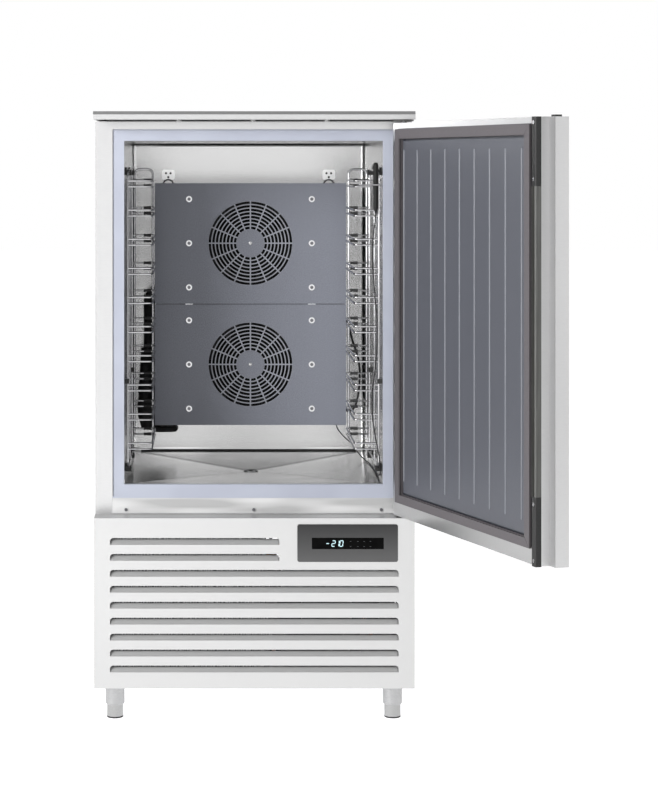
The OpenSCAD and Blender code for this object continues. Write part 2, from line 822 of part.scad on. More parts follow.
module handle_screws() {
  y = door_in + profile_height - cap_wall;
  color("lightgray") hung() for (z = screw_z) difference() {
    union() {
      cyl_y(screw_x, y, y + 2.2, z, head_dia);
      cyl_y(screw_x, door_in, y + 1, z, 4);
    }
    for (a = [0, 90]) translate([screw_x, y + 1.2, z]) rotate([0, a, 0]) box([-2.4, 0, -0.5], [2.4, 2, 0.5]);
  }
}

module door_top_cap() {
  color("black") hung() box([lip_out, lip_in - 16, door_top], [lip_out + 18, lip_in, door_top + 4]);
}

module door_bushes() {
  od = pin_dia + 2 * run_gap + 2 * bush_wall;
  color("white") hung() for (z = [door_bottom, door_top - bush_length]) translate([axis_x, axis_y, z])
  difference() {
    cylinder(d = od, h = bush_length);
    translate([0, 0, -1]) cylinder(d = pin_dia + 2 * run_gap, h = bush_length + 2);
  }
}

module evap_housing() {
  t = panel_sheet;
  x = housing_x;
  z0 = housing_base;
  z1 = housing_top;
  tab_x = x - 30;
  color("lightgray") {
    mirrored() {
      difference() {
        box([x - t, panel_back, z0], [x, cavity_back, z1]);
        for (z = [z0 + 60:130:z1 - 120])
          box([x - t - 1, panel_front + 50, z], [x + 1, panel_front + 90, z + 90]);
      }
      difference() {
        union() {
          box([x - 30, cavity_back - t, z0], [x, cavity_back, z1]);
          box([tab_x - 18, cavity_back - t, z1 - 30], [tab_x + 18, cavity_back, z1 + 47]);
        }
        for (h = [[-6.4, 36], [6.4, 36], [0, 24]])
          cyl_y(tab_x + h[0], cavity_back - 5, cavity_back + 1, z1 + h[1], 5.5);
      }
      difference() {
        box([screw_column - 10, panel_back, z0], [screw_column + 10, panel_back + t, z1]);
        for (f = fan_z) for (k = [-1:1])
          cyl_y(screw_column, panel_back - 1, panel_back + 2 * t, f + k * screw_row, 4.2);
      }
    }
    for (z = [z0, z1 - t]) box([-x, panel_back, z], [x, coil_back + 4, z + t]);
  }
}

module evap_coil() {
  x = coil_width / 2;
  z0 = housing_base + 4;
  z1 = housing_top - 4;
  color("gainsboro") {
    difference() {
      box([-x, coil_front, z0], [x, coil_back, z1]);
      for (k = [1:15]) box([-x + k * coil_width / 16 - 2, coil_front - 1, z0 + 8],
        [-x + k * coil_width / 16 + 2, coil_front + 12, z1 - 8]);
    }
    mirrored() for (k = [0:7]) for (y = [coil_front + 35, coil_back - 35])
      translate([x - 1, y, z0 + 50 + k * (z1 - z0 - 112) / 7]) rotate([0, 90, 0])
        cylinder(d = 10, h = housing_x - panel_sheet - x + 1);
  }
}

module fan_panel(z) {
  t = panel_sheet;
  h = panel_pitch - panel_seam;
  color("slategray") {
    face(panel_front, panel_back) translate([0, z]) difference() {
      translate([-pw, 0]) square([2 * pw, h]);
      translate([0, panel_pitch / 2]) for (k = [0:ring_count - 1]) difference() {
        circle(r = grille_inner + k * ring_pitch + slot_width, $fn = 96);
        circle(r = grille_inner + k * ring_pitch, $fn = 96);
        for (a = spokes) rotate(a) translate([0, -spoke_width / 2]) square([150, spoke_width]);
      }
      for (s = [-1, 1]) for (k = [-1:1]) translate([s * screw_column, panel_pitch / 2 + k * screw_row])
        circle(d = 4.4);
    }
    mirrored() box([pw - t, panel_front, z], [pw, panel_front + 12, z + h]);
  }
}

module fan_panel_upper() { fan_panel(panel_bottom + panel_pitch); }

module fan_panel_lower() { fan_panel(panel_bottom); }

module screw_y(x, y, z, head, length) {
  difference() {
    union() {
      cyl_y(x, y - 2.4, y, z, head);
      cyl_y(x, y, y + length, z, 4);
    }
    for (a = [0, 90]) translate([x, y - 3.4, z]) rotate([0, a, 0]) box([-2.2, 0, -0.5], [2.2, 2.2, 0.5]);
  }
}

module panel_screws() {
  color("white") {
    for (s = [-1, 1]) for (f = fan_z) for (k = [-1:1]) {
      difference() {
        cyl_y(s * screw_column, panel_front - 1.5, panel_front, f + k * screw_row, washer_dia);
        cyl_y(s * screw_column, panel_front - 3, panel_front + 1, f + k * screw_row, 4.2);
      }
      screw_y(s * screw_column, panel_front - 1.5, f + k * screw_row, head_dia, 3);
    }
    for (x = trim_screws) screw_y(x, body_front - trim_depth, body_bottom + 10.5, head_dia, trim_depth);
  }
}

module fan(dia, hub, depth, blades, bore) {
  chord = depth * 2.6;
  difference() {
    union() {
      cylinder(d = hub, h = depth);
      intersection() {
        cylinder(d = dia, h = depth);
        union() for (k = [0:blades - 1]) translate([0, 0, depth / 2]) rotate([0, 0, k * 360 / blades])
          rotate([21, 0, 0]) box([hub / 2 - 3, -chord / 2, -1], [dia / 2 + 2, chord / 2, 1]);
      }
    }
    translate([0, 0, -1]) cylinder(d = bore, h = depth - 3);
    translate([0, 0, depth - 4]) cylinder(d = hub - 12, h = 5);
  }
}

module evap_fan(z) {
  color("black") translate([0, fan_front + fan_depth, z]) rotate([90, 0, 0])
    fan(fan_dia, hub_dia, fan_depth, 7, shaft_dia + 2 * run_gap);
}

module evap_fan_upper() { evap_fan(fan_z[1]); }

module evap_fan_lower() { evap_fan(fan_z[0]); }

module fan_motors() {
  y = fan_front + fan_depth + 3;
  color("dimgray") for (z = fan_z) {
    cyl_y(0, y, y + motor_length, z, motor_dia);
    cyl_y(0, y - 16, y + 1, z, shaft_dia);
    box([-screw_column, y + 4, z - 8], [screw_column, y + 8, z + 8]);
    mirrored() box([screw_column - 4, panel_back + panel_sheet, z - 8], [screw_column, y + 8, z + 8]);
  }
}

module insulated_pipes() {
  color("black") {
    pipe([[-housing_x, pipe_y, panel_bottom + 342], [pipe_side, pipe_y, panel_bottom + 342],
      [pipe_side, pipe_y, pipe_low], [pipe_x, pipe_y, pipe_low], [pipe_x, riser_y, pipe_low],
      [pipe_x, riser_y, riser_end]], pipe_dia, pipe_bend);
    pipe([[-housing_x, line_y, panel_bottom + 322], [line_side, line_y, panel_bottom + 322],
      [line_side, line_y, line_low], [line_x, line_y, line_low], [line_x, riser_y, line_low],
      [line_x, riser_y, riser_end]], line_dia, line_bend);
  }
}

// Centre line of the fan cable, from the housing to its outlet in the back wall: share of the gap beside the
// housing, distance from the back wall and height over the fan panels.
fan_cable_way = [[0, 142, 272], [0.15, 142, 270], [0.26, 140, 252], [0.39, 134, 217], [0.64, 117, 167],
  [0.72, 97, 122], [0.7, 72, 67], [0.57, 42, 24]];

module fan_cables() {
  side_gap = cw - housing_x;
  color("black") {
    hose(concat([for (w = fan_cable_way) [housing_x + w[0] * side_gap, cavity_back - w[1], panel_bottom + w[2]]],
      [[outlet_x + 2, cavity_back - 22, outlet_z + 1], [outlet_x, cavity_back - 10, outlet_z],
       [outlet_x, cavity_back + 8, outlet_z], [outlet_x, wall_mid - 4, outlet_z]]), 3, [1, 0, 0], [0, 1, 0]);
    mirrored() for (k = [0, 1])
      translate([housing_x - 30, cavity_back - panel_sheet - rest_gap - 1.8 - 4.2 * k, housing_top + 4.5])
        rotate([90, 0, 0]) rotate_extrude(angle = 360) translate([14.2, 0]) circle(d = 3.6);
  }
}

module rack() {
  x = rack_outer;
  f = rack_front;
  b = rack_back;
  loop([[x, f, rack_bottom], [x, b, rack_bottom], [x, b, rack_top], [x, f, rack_top]], frame_wire, 20);
  m = f + (b - f) * 0.453;
  rod([x, m, rack_bottom], [x, m, rack_top], runner_wire);
  for (k = [0:runner_count - 1]) for (d = [0, runner_gap]) {
    z = runner_top - k * runner_pitch - d;
    pipe([[x, f, z], [rack_inner, f, z], [rack_inner, b, z], [x, b, z]], runner_wire, 8);
  }
  y = b + runner_wire / 2 + frame_wire / 2 - 0.5;
  pipe([[x - 7, y, rack_bottom + 37], [x - 7, y, rack_top + 3], [rack_inner + 6, y, rack_top + 3],
    [rack_inner + 6, y, rack_bottom + 37]], frame_wire, 14);
}

module rack_right() { color("lightgray") rack(); }

module rack_left() { color("lightgray") mirror([1, 0, 0]) rack(); }

module rack_hooks() {
  x = rack_outer;
  r = frame_wire / 2;
  color("black") mirrored() {
    for (y = [rack_front + 28, rack_back - 29]) for (z = [rack_top, rack_bottom]) {
      box([x - 8, y - 8, z - r - rest_gap - 9], [cw, y + 8, z - r - rest_gap]);
      box([x - 8, y - 8, z - r - 4], [x - r - 0.6, y + 8, z + 2]);
      box([x + r + 0.6, y - 8, z - r - 4], [cw, y + 8, z + 8]);
    }
    for (y = [rack_front, rack_back]) {
      box([x + r + 0.6, y - 7, clip_z], [cw, y + 7, clip_z + 12]);
      for (s = [-1, 1]) translate([x - 3, y + s * 5.2 - 1.4, clip_z]) cube([cw - x + 3, 2.8, 12]);
    }
  }
}

module core_probe() {
  z = probe_top - 8;
  color("silver") translate([handle_x, handle_y, 0]) {
    translate([0, 0, probe_bottom]) cylinder(d = probe_dia, h = probe_length - probe_dia / 2);
    translate([0, 0, probe_top - probe_dia / 2]) sphere(d = probe_dia);
    translate([0, 0, probe_bottom - boot_length]) cylinder(d1 = cable_dia + 1, d2 = probe_dia, h = boot_length);
    translate([0, 0, z]) rotate([-90, 0, 0]) cylinder(d = needle_dia, h = needle_length);
    translate([0, needle_length, z]) rotate([-90, 0, 0]) cylinder(d1 = needle_dia, d2 = 0.6, h = 8);
  }
}

module probe_holder() {
  z = runner_top - runner_gap + runner_wire / 2 + rest_gap + 2;
  y = handle_y - probe_dia / 2 - 2.5;
  n = probe_top - 8 - needle_dia / 2 - rest_gap;
  s = rack_top + frame_wire / 2 + rest_gap;
  color("silver") {
    pipe([[rack_inner + 10, rack_front + 6, z], [rack_inner + 10, y, z], [handle_x + 10, y, z],
      [handle_x + 10, rack_front - frame_wire / 2 - rest_gap, z]], 4, 5);
    box([handle_x - 4, rack_front + 40, s], [rack_outer + 3, rack_front + 48, s + 1.5]);
    box([handle_x - 4, rack_front + 40, s], [handle_x + 4, rack_front + 48, n]);
    for (x = [handle_x - 5, handle_x + 3.5]) box([x, rack_front + 40, s], [x + 1.5, rack_front + 48, n + 5]);
  }
}

// Centre line of the probe cable. It hangs from the handle: sideways from the handle, backwards, and share of the
// way down to the corner of the wall and the floor.
cable_start = probe_bottom - boot_length;
cable_turn = cavity_bottom + 59;
cable_hang = [[0, 0, 0], [-3, 0, 0.04], [-7, -0.5, 0.115], [-8, -0.5, 0.19], [-5, 0, 0.275], [-1, 0.5, 0.36],
  [3, 1, 0.42], [4, 1.5, 0.47], [2, 1.5, 0.57], [-3, 1.5, 0.65], [-8, 1.5, 0.73], [-9, 1.5, 0.805],
  [-4, 1.5, 0.88], [4, 1.5, 0.95], [9.5, 2, 1]];
// It then lies beside the wall and rises to its gland: distance from the wall, way to the gland and height over the
// rim of the floor.
cable_lie = [[4, 0.016, 33], [3, 0.07, 18], [2.7, 0.16, 10], [2.7, 0.29, 3], [3.5, 0.535, 2.2], [6, 0.76, 2],
  [13, 0.89, 3], [26, 0.957, 14]];
cable_points = concat(
  [for (w = cable_hang) [handle_x + w[0], handle_y + w[1], cable_start - w[2] * (cable_start - cable_turn)]],
  [for (w = cable_lie) [cw - w[0], handle_y + w[1] * (gland_y - handle_y), cavity_bottom + w[2]]],
  [[gland_x + 39, gland_y - 3, cable_end - 58], [gland_x + 16, gland_y, cable_end - 36],
   [gland_x + 4, gland_y, cable_end - 21], [gland_x, gland_y, cable_end - 11], [gland_x, gland_y, cable_end]]);

module probe_cable() { color("black") hose(cable_points, cable_dia / 2, [0, 0, -1], [0, 0, 1]); }

module base_deck() {
  t = deck_sheet;
  color("silver") difference() {
    union() {
      box([-hw, door_out, deck_under], [hw, body_back, body_bottom]);
      for (s = [-1, 1]) box([min(s * (hw - t), s * (hw - 2 * t)), door_out + return_depth + 5, deck_under - 22],
        [max(s * (hw - t), s * (hw - 2 * t)), body_back - 2 * t, deck_under + 0.5]);
      box([-hw + t, body_back - 2 * t, deck_under - 22], [hw - t, body_back - t, deck_under + 0.5]);
    }
    cylinder(d = drain_dia + 2 * pass_gap, h = body_bottom + 10);
    pipe_holes(pass_gap);
  }
}

module base_pan() {
  t = deck_sheet;
  y = door_out + return_depth;
  color("silver") {
    difference() {
      box([-hw, y, base_bottom], [hw, body_back, pan_top]);
      legs() for (x = [-31, 31]) translate([x, 0, base_bottom - 1]) cylinder(d = 6.4, h = 4);
    }
    for (s = [-1, 1]) box([min(s * (hw - t), s * (hw - 2 * t)), y + 5, base_bottom + 0.5],
      [max(s * (hw - t), s * (hw - 2 * t)), body_back - 2 * t, pan_top + 20]);
    box([-hw + t, body_back - 2 * t, base_bottom + 0.5], [hw - t, body_back - t, pan_top + 20]);
  }
}

module base_sides() {
  t = deck_sheet;
  color("silver") mirrored() difference() {
    box([hw - t, door_out + return_depth, pan_top], [hw, body_back, deck_under]);
    for (k = [0:7]) box([hw - t - 1, -160, pan_top + 95 + k * 24], [hw + 1, 160, pan_top + 105 + k * 24]);
  }
}

module rear_grille() {
  t = deck_sheet;
  x = hw - t;
  n = 12;
  low = pan_top + 75;
  pitch = (deck_under - 56 - low) / (n - 1);
  color("silver") difference() {
    box([-x, body_back - t, pan_top], [x, body_back, deck_under]);
    mirrored() for (k = [0:n - 1]) box([12, body_back - t - 1, low + k * pitch],
      [hw - 107, body_back + 1, low + 12 + k * pitch]);
    cyl_y(mains_x, body_back - 5, body_back + 1, mains_z, 16);
  }
}

module louvre(x0, x1, zt) {
  zb = zt - louvre_height;
  a = atan((louvre_depth) / (louvre_height - 4));
  l = sqrt(louvre_depth * louvre_depth + (louvre_height - 4) * (louvre_height - 4));
  translate([0, door_out, zb - 0.8]) rotate([-a, 0, 0]) box([x0 + 1.5, 0, 0], [x1 - 1.5, deck_sheet, l]);
}

module louvre_panel() {
  t = deck_sheet;
  z0 = base_bottom;
  tops = [for (k = [0:louvre_count - 1]) louvre_top - k * louvre_pitch];
  color("silver") {
    difference() {
      box([-hw, door_out, z0], [hw, door_out + return_depth, deck_under]);
      box([-hw + t, door_out + t, z0 + t], [hw - t, door_out + return_depth + 1, deck_under + 1]);
      for (k = [0:louvre_count - 1]) {
        x1 = k < 2 ? louvre_short : louvre_half;
        face(door_out - 1, door_out + t + 1) {
          translate([-louvre_half, tops[k] - louvre_height]) square([x1 + louvre_half, louvre_height - 8]);
          translate([-louvre_half + 8, tops[k] - 10]) square([x1 + louvre_half - 16, 10]);
          for (x = [-louvre_half + 8, x1 - 8]) translate([x, tops[k] - 8]) circle(r = 8);
        }
      }
      box([bezel_left + 9, door_out - 1, bezel_bottom + 9],
        [bezel_left + bezel_width - 9, door_out + t + 1, bezel_bottom + bezel_height - 9]);
    }
    for (k = [0:louvre_count - 1]) louvre(-louvre_half, k < 2 ? louvre_short : louvre_half, tops[k]);
  }
}

glass = [bezel_left + 35.6, bezel_bottom + 31.5, bezel_left + 212.5, bezel_bottom + 59.6];

module control_bezel() {
  x0 = bezel_left;
  x1 = bezel_left + bezel_width;
  z0 = bezel_bottom;
  z1 = bezel_bottom + bezel_height;
  y = door_out - bezel_depth;
  color("dimgray") {
    difference() {
      union() {
        face(y, door_out) round_2d(x0, z0, x1, z1, 5);
        box([x0 + 9.5, door_out - 1, z0 + 9.5], [x1 - 9.5, door_out + 6, z1 - 9.5]);
      }
      box([x0 + 12, door_out - 0.5, z0 + 12], [x1 - 12, door_out + 7, z1 - 12]);
      box([glass[0], y - 1, glass[1]], [glass[2], door_out + 1, glass[3]]);
    }
    for (x = [x0 + 20, x1 - 20]) for (z = [z0 + 18, z1 - 18]) cyl_y(x, door_out - 1, door_out + 8, z, 6);
  }
}

module display_glass() {
  color("black") face(door_out - bezel_depth + 0.4, door_out - 0.5)
    translate([glass[0], glass[1]]) square([glass[2] - glass[0], glass[3] - glass[1]]);
}

module control_board() {
  x0 = bezel_left + 14;
  x1 = bezel_left + bezel_width - 14;
  y = door_out + 8;
  color("green") {
    box([x0, y, bezel_bottom + 13], [x1, y + 1.6, bezel_bottom + bezel_height - 13]);
    for (k = [0:2]) box([x0 + 30 + k * 62, y + 1.6, bezel_bottom + 22], [x0 + 66 + k * 62, y + 9, bezel_bottom + 48]);
    cyl_y(x1 - 22, y + 1, y + 14, bezel_bottom + 56, 12);
  }
}

module electrical_box() {
  x0 = cooler_x + condenser_width / 2 + 40;
  x1 = hw - 12;
  y0 = door_out + 34;
  z1 = deck_under - 13.8;
  z0 = z1 - 188;
  color("lightgray") {
    difference() {
      box([x0, y0, z0], [x1, y0 + 110, z1]);
      box([x0 + 1.5, y0 + 1.5, z0 + 1.5], [x1 - 1.5, y0 + 108.5, z1 - 1.5]);
      box([x0 + 20, y0 - 1, z0 + 80], [x1 - 20, y0 + 2, z1 - 18]);
    }
    for (x = [x0 + 20, x0 + 80, x0 + 140]) box([x, y0 + 60, z0 + 1], [x + 44, y0 + 109, z0 + 72]);
    box([x0 + 12, y0 + 96, z0 + 88], [x1 - 12, y0 + 109, z0 + 108]);
    for (x = [x0 + 8, x1 - 23]) box([x, y0 + 108, z1 - 18], [x + 15, y0 + 109.8, deck_under]);
  }
}

module compressor() {
  r = compressor_dia / 2;
  z = pan_top + 22;
  color("black") translate([compressor_x, compressor_y, z]) {
    translate([0, 0, 40]) cylinder(r = r, h = compressor_height - 90);
    for (e = [[40, 0], [compressor_height - 50, 1]]) translate([0, 0, e[0]]) intersection() {
      translate([0, 0, e[1] > 0 ? -60 : 60]) sphere(r = sqrt(r * r + 3600), $fn = 72);
      translate([0, 0, e[1] > 0 ? 0 : -80]) cylinder(r = r, h = 80);
    }
    difference() {
      box([-125, -100, 0], [125, 100, 4]);
      for (x = [-105, 105]) for (y = [-80, 80]) translate([x, y, -1]) cylinder(d = 10, h = 8);
    }
    cylinder(r = r - 22, h = 30);
    box([-38, -r - 34, 70], [38, -r + 30, 150]);
    translate([30, 60, compressor_height - 60]) cylinder(d = 24, h = 75);
    translate([-30, -40, compressor_height - 60]) cylinder(d = 17, h = 75);
  }
}

module compressor_mounts() {
  color("black") for (x = [-105, 105]) for (y = [-80, 80])
  translate([compressor_x + x, compressor_y + y, pan_top]) {
    cylinder(d = 30, h = 22);
    translate([0, 0, 20]) cylinder(d = 9, h = 10);
    translate([0, 0, 26]) cylinder(d = 18, h = 8);
  }
}

module condenser_coil() {
  x0 = cooler_x - condenser_width / 2;
  x1 = cooler_x + condenser_width / 2;
  z0 = cooler_z - condenser_height / 2;
  z1 = cooler_z + condenser_height / 2;
  color("gainsboro") {
    difference() {
      box([x0, coil_face, z0], [x1, shroud_face, z1]);
      for (k = [1:14]) box([x0 + k * condenser_width / 15 - 2, coil_face - 1, z0 + 6],
        [x0 + k * condenser_width / 15 + 2, coil_face + 8, z1 - 6]);
    }
    for (x = [x0, x1 - 20]) box([x, coil_face, pan_top], [x + 20, shroud_face, z0 + 1]);
    for (k = [0:5]) translate([x1, coil_face + 14, z0 + 35 + k * (condenser_height - 70) / 5])
      rotate([0, -90, -90]) rotate_extrude(angle = 180) translate([12, 0]) circle(d = 8);
  }
}

module condenser_shroud() {
  x0 = cooler_x - condenser_width / 2;
  x1 = cooler_x + condenser_width / 2;
  z0 = cooler_z - condenser_height / 2;
  z1 = cooler_z + condenser_height / 2;
  color("silver") difference() {
    union() {
      box([x0, shroud_face, z0], [x1, shroud_back, z1]);
      cyl_y(cooler_x, shroud_back - 1, shroud_back + 6, cooler_z, cooler_dia + 14);
    }
    box([x0 + 1.5, shroud_face - 1, z0 + 1.5], [x1 - 1.5, shroud_back - 1.5, z1 - 1.5]);
    cyl_y(cooler_x, shroud_face, shroud_back + 7, cooler_z, cooler_dia + 10);
  }
}

module condenser_fan() {
  color("dimgray") translate([cooler_x, shroud_back + 2, cooler_z]) rotate([90, 0, 0])
    fan(cooler_dia, 90, 34, 6, shaft_dia + 2 * run_gap);
}

module condenser_motor() {
  y = shroud_back + 12;
  color("black") {
    cyl_y(cooler_x, y, y + 76, cooler_z, 92);
    cyl_y(cooler_x, y - 24, y + 1, cooler_z, shaft_dia);
    for (a = [45, 135]) translate([cooler_x, y, cooler_z]) rotate([0, a, 0]) {
      box([-176, 0, -8], [176, 4, 8]);
      for (x = [-176, 160]) box([x, -12, -8], [x + 16, 1, 8]);
    }
  }
}

module liquid_receiver() {
  r = receiver_dia / 2;
  color("black") translate([receiver_x, receiver_y, pan_top]) {
    translate([0, 0, 45]) cylinder(r = r, h = receiver_shell);
    for (e = [[45, 0], [45 + receiver_shell, 1]]) translate([0, 0, e[0]]) intersection() {
      translate([0, 0, e[1] > 0 ? -25 : 25]) sphere(r = sqrt(r * r + 625));
      translate([0, 0, e[1] > 0 ? 0 : -40]) cylinder(r = r, h = 40);
    }
    for (a = [45:90:315]) rotate([0, 0, a]) box([r - 14, -8, 0], [r - 8, 8, 50]);
    translate([0, 0, receiver_shell + 50]) cylinder(d = 26, h = 34);
    translate([0, 0, feed_z - pan_top]) rotate([90, 0, 0]) cylinder(d = 14, h = r + 8);
  }
}

module refrigerant_lines() {
  z = compressor_top;
  x = cooler_x + condenser_width / 2;
  y = coil_face + 37;
  stub_x = compressor_x + 30;
  stub_y = compressor_y + 60;
  gas_x = compressor_x - 30;
  gas_y = compressor_y - 40;
  dryer_y = receiver_y + 80;
  color("darkgoldenrod") {
    pipe([[pipe_x, riser_y, riser_end], [pipe_x, riser_y, high_lines], [pipe_x, stub_y, high_lines],
      [stub_x, stub_y, high_lines], [stub_x, stub_y, z]], 18, 24);
    pipe([[gas_x, gas_y, z], [gas_x, gas_y, low_lines], [gas_x, line_front, low_lines],
      [x + 22, line_front, low_lines], [x + 22, y, low_lines], [x, y, low_lines]], 12, 16);
    pipe([[x, y, feed_z], [x + 22, y, feed_z], [x + 22, line_front, feed_z], [receiver_x, line_front, feed_z],
      [receiver_x, receiver_y - receiver_dia / 2 - 8, feed_z]], 10, 16);
    pipe([[receiver_x, receiver_y, receiver_top], [receiver_x, receiver_y, low_lines],
      [receiver_x, dryer_y, low_lines], [line_x, dryer_y, low_lines], [line_x, riser_y, low_lines],
      [line_x, riser_y, riser_end]], 10, 14);
    rod([compressor_x - 110, dryer_y, low_lines], [compressor_x - 10, dryer_y, low_lines], 44);
  }
}

module condensate_tray() {
  w = 2.5;
  a = hw - 65;
  b = compressor_x - 130;
  c = body_back - 70;
  color("gray") difference() {
    box([-a, -60, pan_top], [b, c, pan_top + 42]);
    box([w - a, w - 60, pan_top + w], [b - w, c - w, pan_top + 43]);
  }
}

// Places of the legs: s is -1 at the left and at the front, and 1 at the right and at the back.
function leg_place(sx, sy) = [sx * leg_x, sy < 0 ? door_out + leg_setback : body_back - leg_setback, 0];

module legs() { for (sx = [-1, 1]) for (sy = [-1, 1]) translate(leg_place(sx, sy)) children(); }

sleeve_bottom = base_bottom - sleeve_length;

module leg_sleeves() {
  color("silver") legs() {
    difference() {
      union() {
        translate([0, 0, sleeve_bottom + 3]) cylinder(d = sleeve_dia, h = sleeve_length - 3);
        translate([0, 0, sleeve_bottom]) cylinder(d1 = sleeve_dia - 4, d2 = sleeve_dia, h = 3);
        box([-40, -24, base_bottom - 3], [40, 24, base_bottom]);
      }
      translate([0, 0, sleeve_bottom - 1]) cylinder(d = foot_dia + 2 * run_gap, h = sleeve_length - 5);
      for (x = [-31, 31]) translate([x, 0, base_bottom - 4]) cylinder(d = 6.4, h = 6);
    }
  }
}

module foot(sx, sy) {
  color("gray") translate(leg_place(sx, sy)) {
    cylinder(d1 = foot_dia - 2, d2 = foot_dia, h = 1);
    translate([0, 0, 1]) cylinder(d = foot_dia, h = pad_thickness - 1);
    translate([0, 0, pad_thickness]) cylinder(d = foot_dia - 0.6, h = 2);
    translate([0, 0, pad_thickness + 2]) cylinder(d = foot_dia, h = base_bottom - 6 - pad_thickness - 2);
  }
}

module foot_front_left() { foot(-1, -1); }

module foot_front_right() { foot(1, -1); }

module foot_back_left() { foot(-1, 1); }

module foot_back_right() { foot(1, 1); }

module leg_bolts() {
  hex = [for (k = [0:5]) [5.8 * cos(k * 60), 5.8 * sin(k * 60)]];
  color("silver") legs() for (x = [-31, 31]) translate([x, 0, 0]) {
    plan(base_bottom - 3 - 4.5, base_bottom - 3) polygon(hex);
    translate([0, 0, base_bottom - 4]) cylinder(d = 6, h = 14);
    plan(pan_top, pan_top + 5) polygon(hex);
  }
}

module cable_glands() {
  color("black") {
    translate([gland_x, gland_y, cable_end]) cylinder(d = 12, h = housing_base - cable_end);
    difference() {
      cyl_y(outlet_x, cavity_back - 3, cavity_back, outlet_z, 16);
      cyl_y(outlet_x, cavity_back - 4, cavity_back + 1, outlet_z, 7.4);
    }
    cyl_y(mains_x, body_back - 14, body_back + 6, mains_z, 15.4);
    cyl_y(mains_x, body_back, body_back + 3, mains_z, 24);
  }
}

outer_shell();
foam_core();
liner();
floor_basin();
front_frame();
frame_heater();
sill_trim();
worktop();
worktop_spacers();
hinge_brackets();
evap_housing();
evap_coil();
fan_panel_upper();
fan_panel_lower();
panel_screws();
evap_fan_upper();
evap_fan_lower();
fan_motors();
insulated_pipes();
fan_cables();
rack_left();
rack_right();
rack_hooks();
core_probe();
probe_cable();
probe_holder();
door_skin();
door_foam();
door_liner();
door_gasket();
handle_profile();
handle_caps();
handle_screws();
door_top_cap();
door_bushes();
base_pan();
base_deck();
base_sides();
rear_grille();
louvre_panel();
compressor();
compressor_mounts();
condenser_coil();
condenser_shroud();
condenser_fan();
condenser_motor();
liquid_receiver();
refrigerant_lines();
electrical_box();
control_bezel();
display_glass();
control_board();
condensate_tray();
leg_sleeves();
leg_bolts();
cable_glands();
foot_front_left();
foot_front_right();
foot_back_left();
foot_back_right();
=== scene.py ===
import math
from functools import partial

import bpy
from mathutils import Matrix, Vector


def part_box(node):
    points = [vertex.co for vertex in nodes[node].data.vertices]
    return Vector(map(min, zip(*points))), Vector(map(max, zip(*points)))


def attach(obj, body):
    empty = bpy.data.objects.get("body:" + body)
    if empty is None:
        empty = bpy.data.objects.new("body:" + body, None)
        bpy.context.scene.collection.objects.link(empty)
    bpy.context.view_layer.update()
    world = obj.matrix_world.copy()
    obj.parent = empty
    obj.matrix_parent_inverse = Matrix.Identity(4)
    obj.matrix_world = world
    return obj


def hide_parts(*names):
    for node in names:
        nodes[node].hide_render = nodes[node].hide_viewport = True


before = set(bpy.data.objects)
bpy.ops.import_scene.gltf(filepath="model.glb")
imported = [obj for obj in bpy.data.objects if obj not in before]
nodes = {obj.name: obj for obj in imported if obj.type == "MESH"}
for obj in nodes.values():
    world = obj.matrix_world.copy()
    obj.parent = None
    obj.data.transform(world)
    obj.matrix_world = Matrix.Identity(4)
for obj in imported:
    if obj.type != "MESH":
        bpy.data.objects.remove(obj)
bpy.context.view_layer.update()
scene = bpy.context.scene
scene.view_settings.view_transform = "Standard"

# The camera stands in front of the left half of the cabinet, just under the top of the door, and looks level along
# +Y. The photograph keeps its uprights parallel, so the lens is shifted to the right and down and not tilted.
bpy.ops.object.camera_add(location=(-0.1193, -5.755, 1.365), rotation=(math.radians(90), 0, 0))
camera = bpy.context.object
camera.name = "photo_camera"
camera.data.sensor_width = 36
camera.data.lens = 98.04
camera.data.shift_x = 0.1542
camera.data.shift_y = -0.2897
camera.data.clip_end = 100
scene.camera = camera


def finish(name, roughness=0.5, metallic=0.0, **sockets):
    """A new material whose shader has these values on its own sockets."""
    made = bpy.data.materials.new(name)
    made.use_nodes = True
    shader = made.node_tree.nodes["Principled BSDF"]
    shader.inputs["Roughness"].default_value = roughness
    shader.inputs["Metallic"].default_value = metallic
    for socket, value in sockets.items():
        shader.inputs[socket.replace("_", " ")].default_value = value
    return made


def noise(made, scale, detail, stretch=(1, 1, 1)):
    """Noise on the Object coordinates, which are multiplied by stretch first."""
    tree = made.node_tree
    place = tree.nodes.new("ShaderNodeTexCoord")
    mapping = tree.nodes.new("ShaderNodeMapping")
    mapping.inputs["Scale"].default_value = stretch
    texture = tree.nodes.new("ShaderNodeTexNoise")
    texture.inputs["Scale"].default_value = scale
    texture.inputs["Detail"].default_value = detail
    tree.links.new(place.outputs["Object"], mapping.inputs["Vector"])
    tree.links.new(mapping.outputs["Vector"], texture.inputs["Vector"])
    return texture.outputs["Fac"]


def tint(made, value, dark, light, low=0.35, high=0.65):
    """Colour of the finish between two tones, by a value that runs from low to high. The shader's own colour, which
    the ramp overrides, is their mean."""
    tree = made.node_tree
    colour = tree.nodes["Principled BSDF"].inputs["Base Color"]
    colour.default_value = (*((a + b) / 2 for a, b in zip(dark, light)), 1)
    ramp = tree.nodes.new("ShaderNodeValToRGB")
    ramp.color_ramp.elements[0].position = low
    ramp.color_ramp.elements[0].color = (*dark, 1)
    ramp.color_ramp.elements[1].position = high
    ramp.color_ramp.elements[1].color = (*light, 1)
    tree.links.new(value, ramp.inputs["Fac"])
    tree.links.new(ramp.outputs["Color"], colour)
    return ramp.outputs["Color"]


def remap(tree, value, span, new_span):
    """A value from one span taken to another, and held at its ends."""
    made = tree.nodes.new("ShaderNodeMapRange")
    for socket, number in zip(("From Min", "From Max", "To Min", "To Max"), (*span, *new_span)):
        made.inputs[socket].default_value = number
    tree.links.new(value, made.inputs["Value"])
    return made.outputs["Result"]


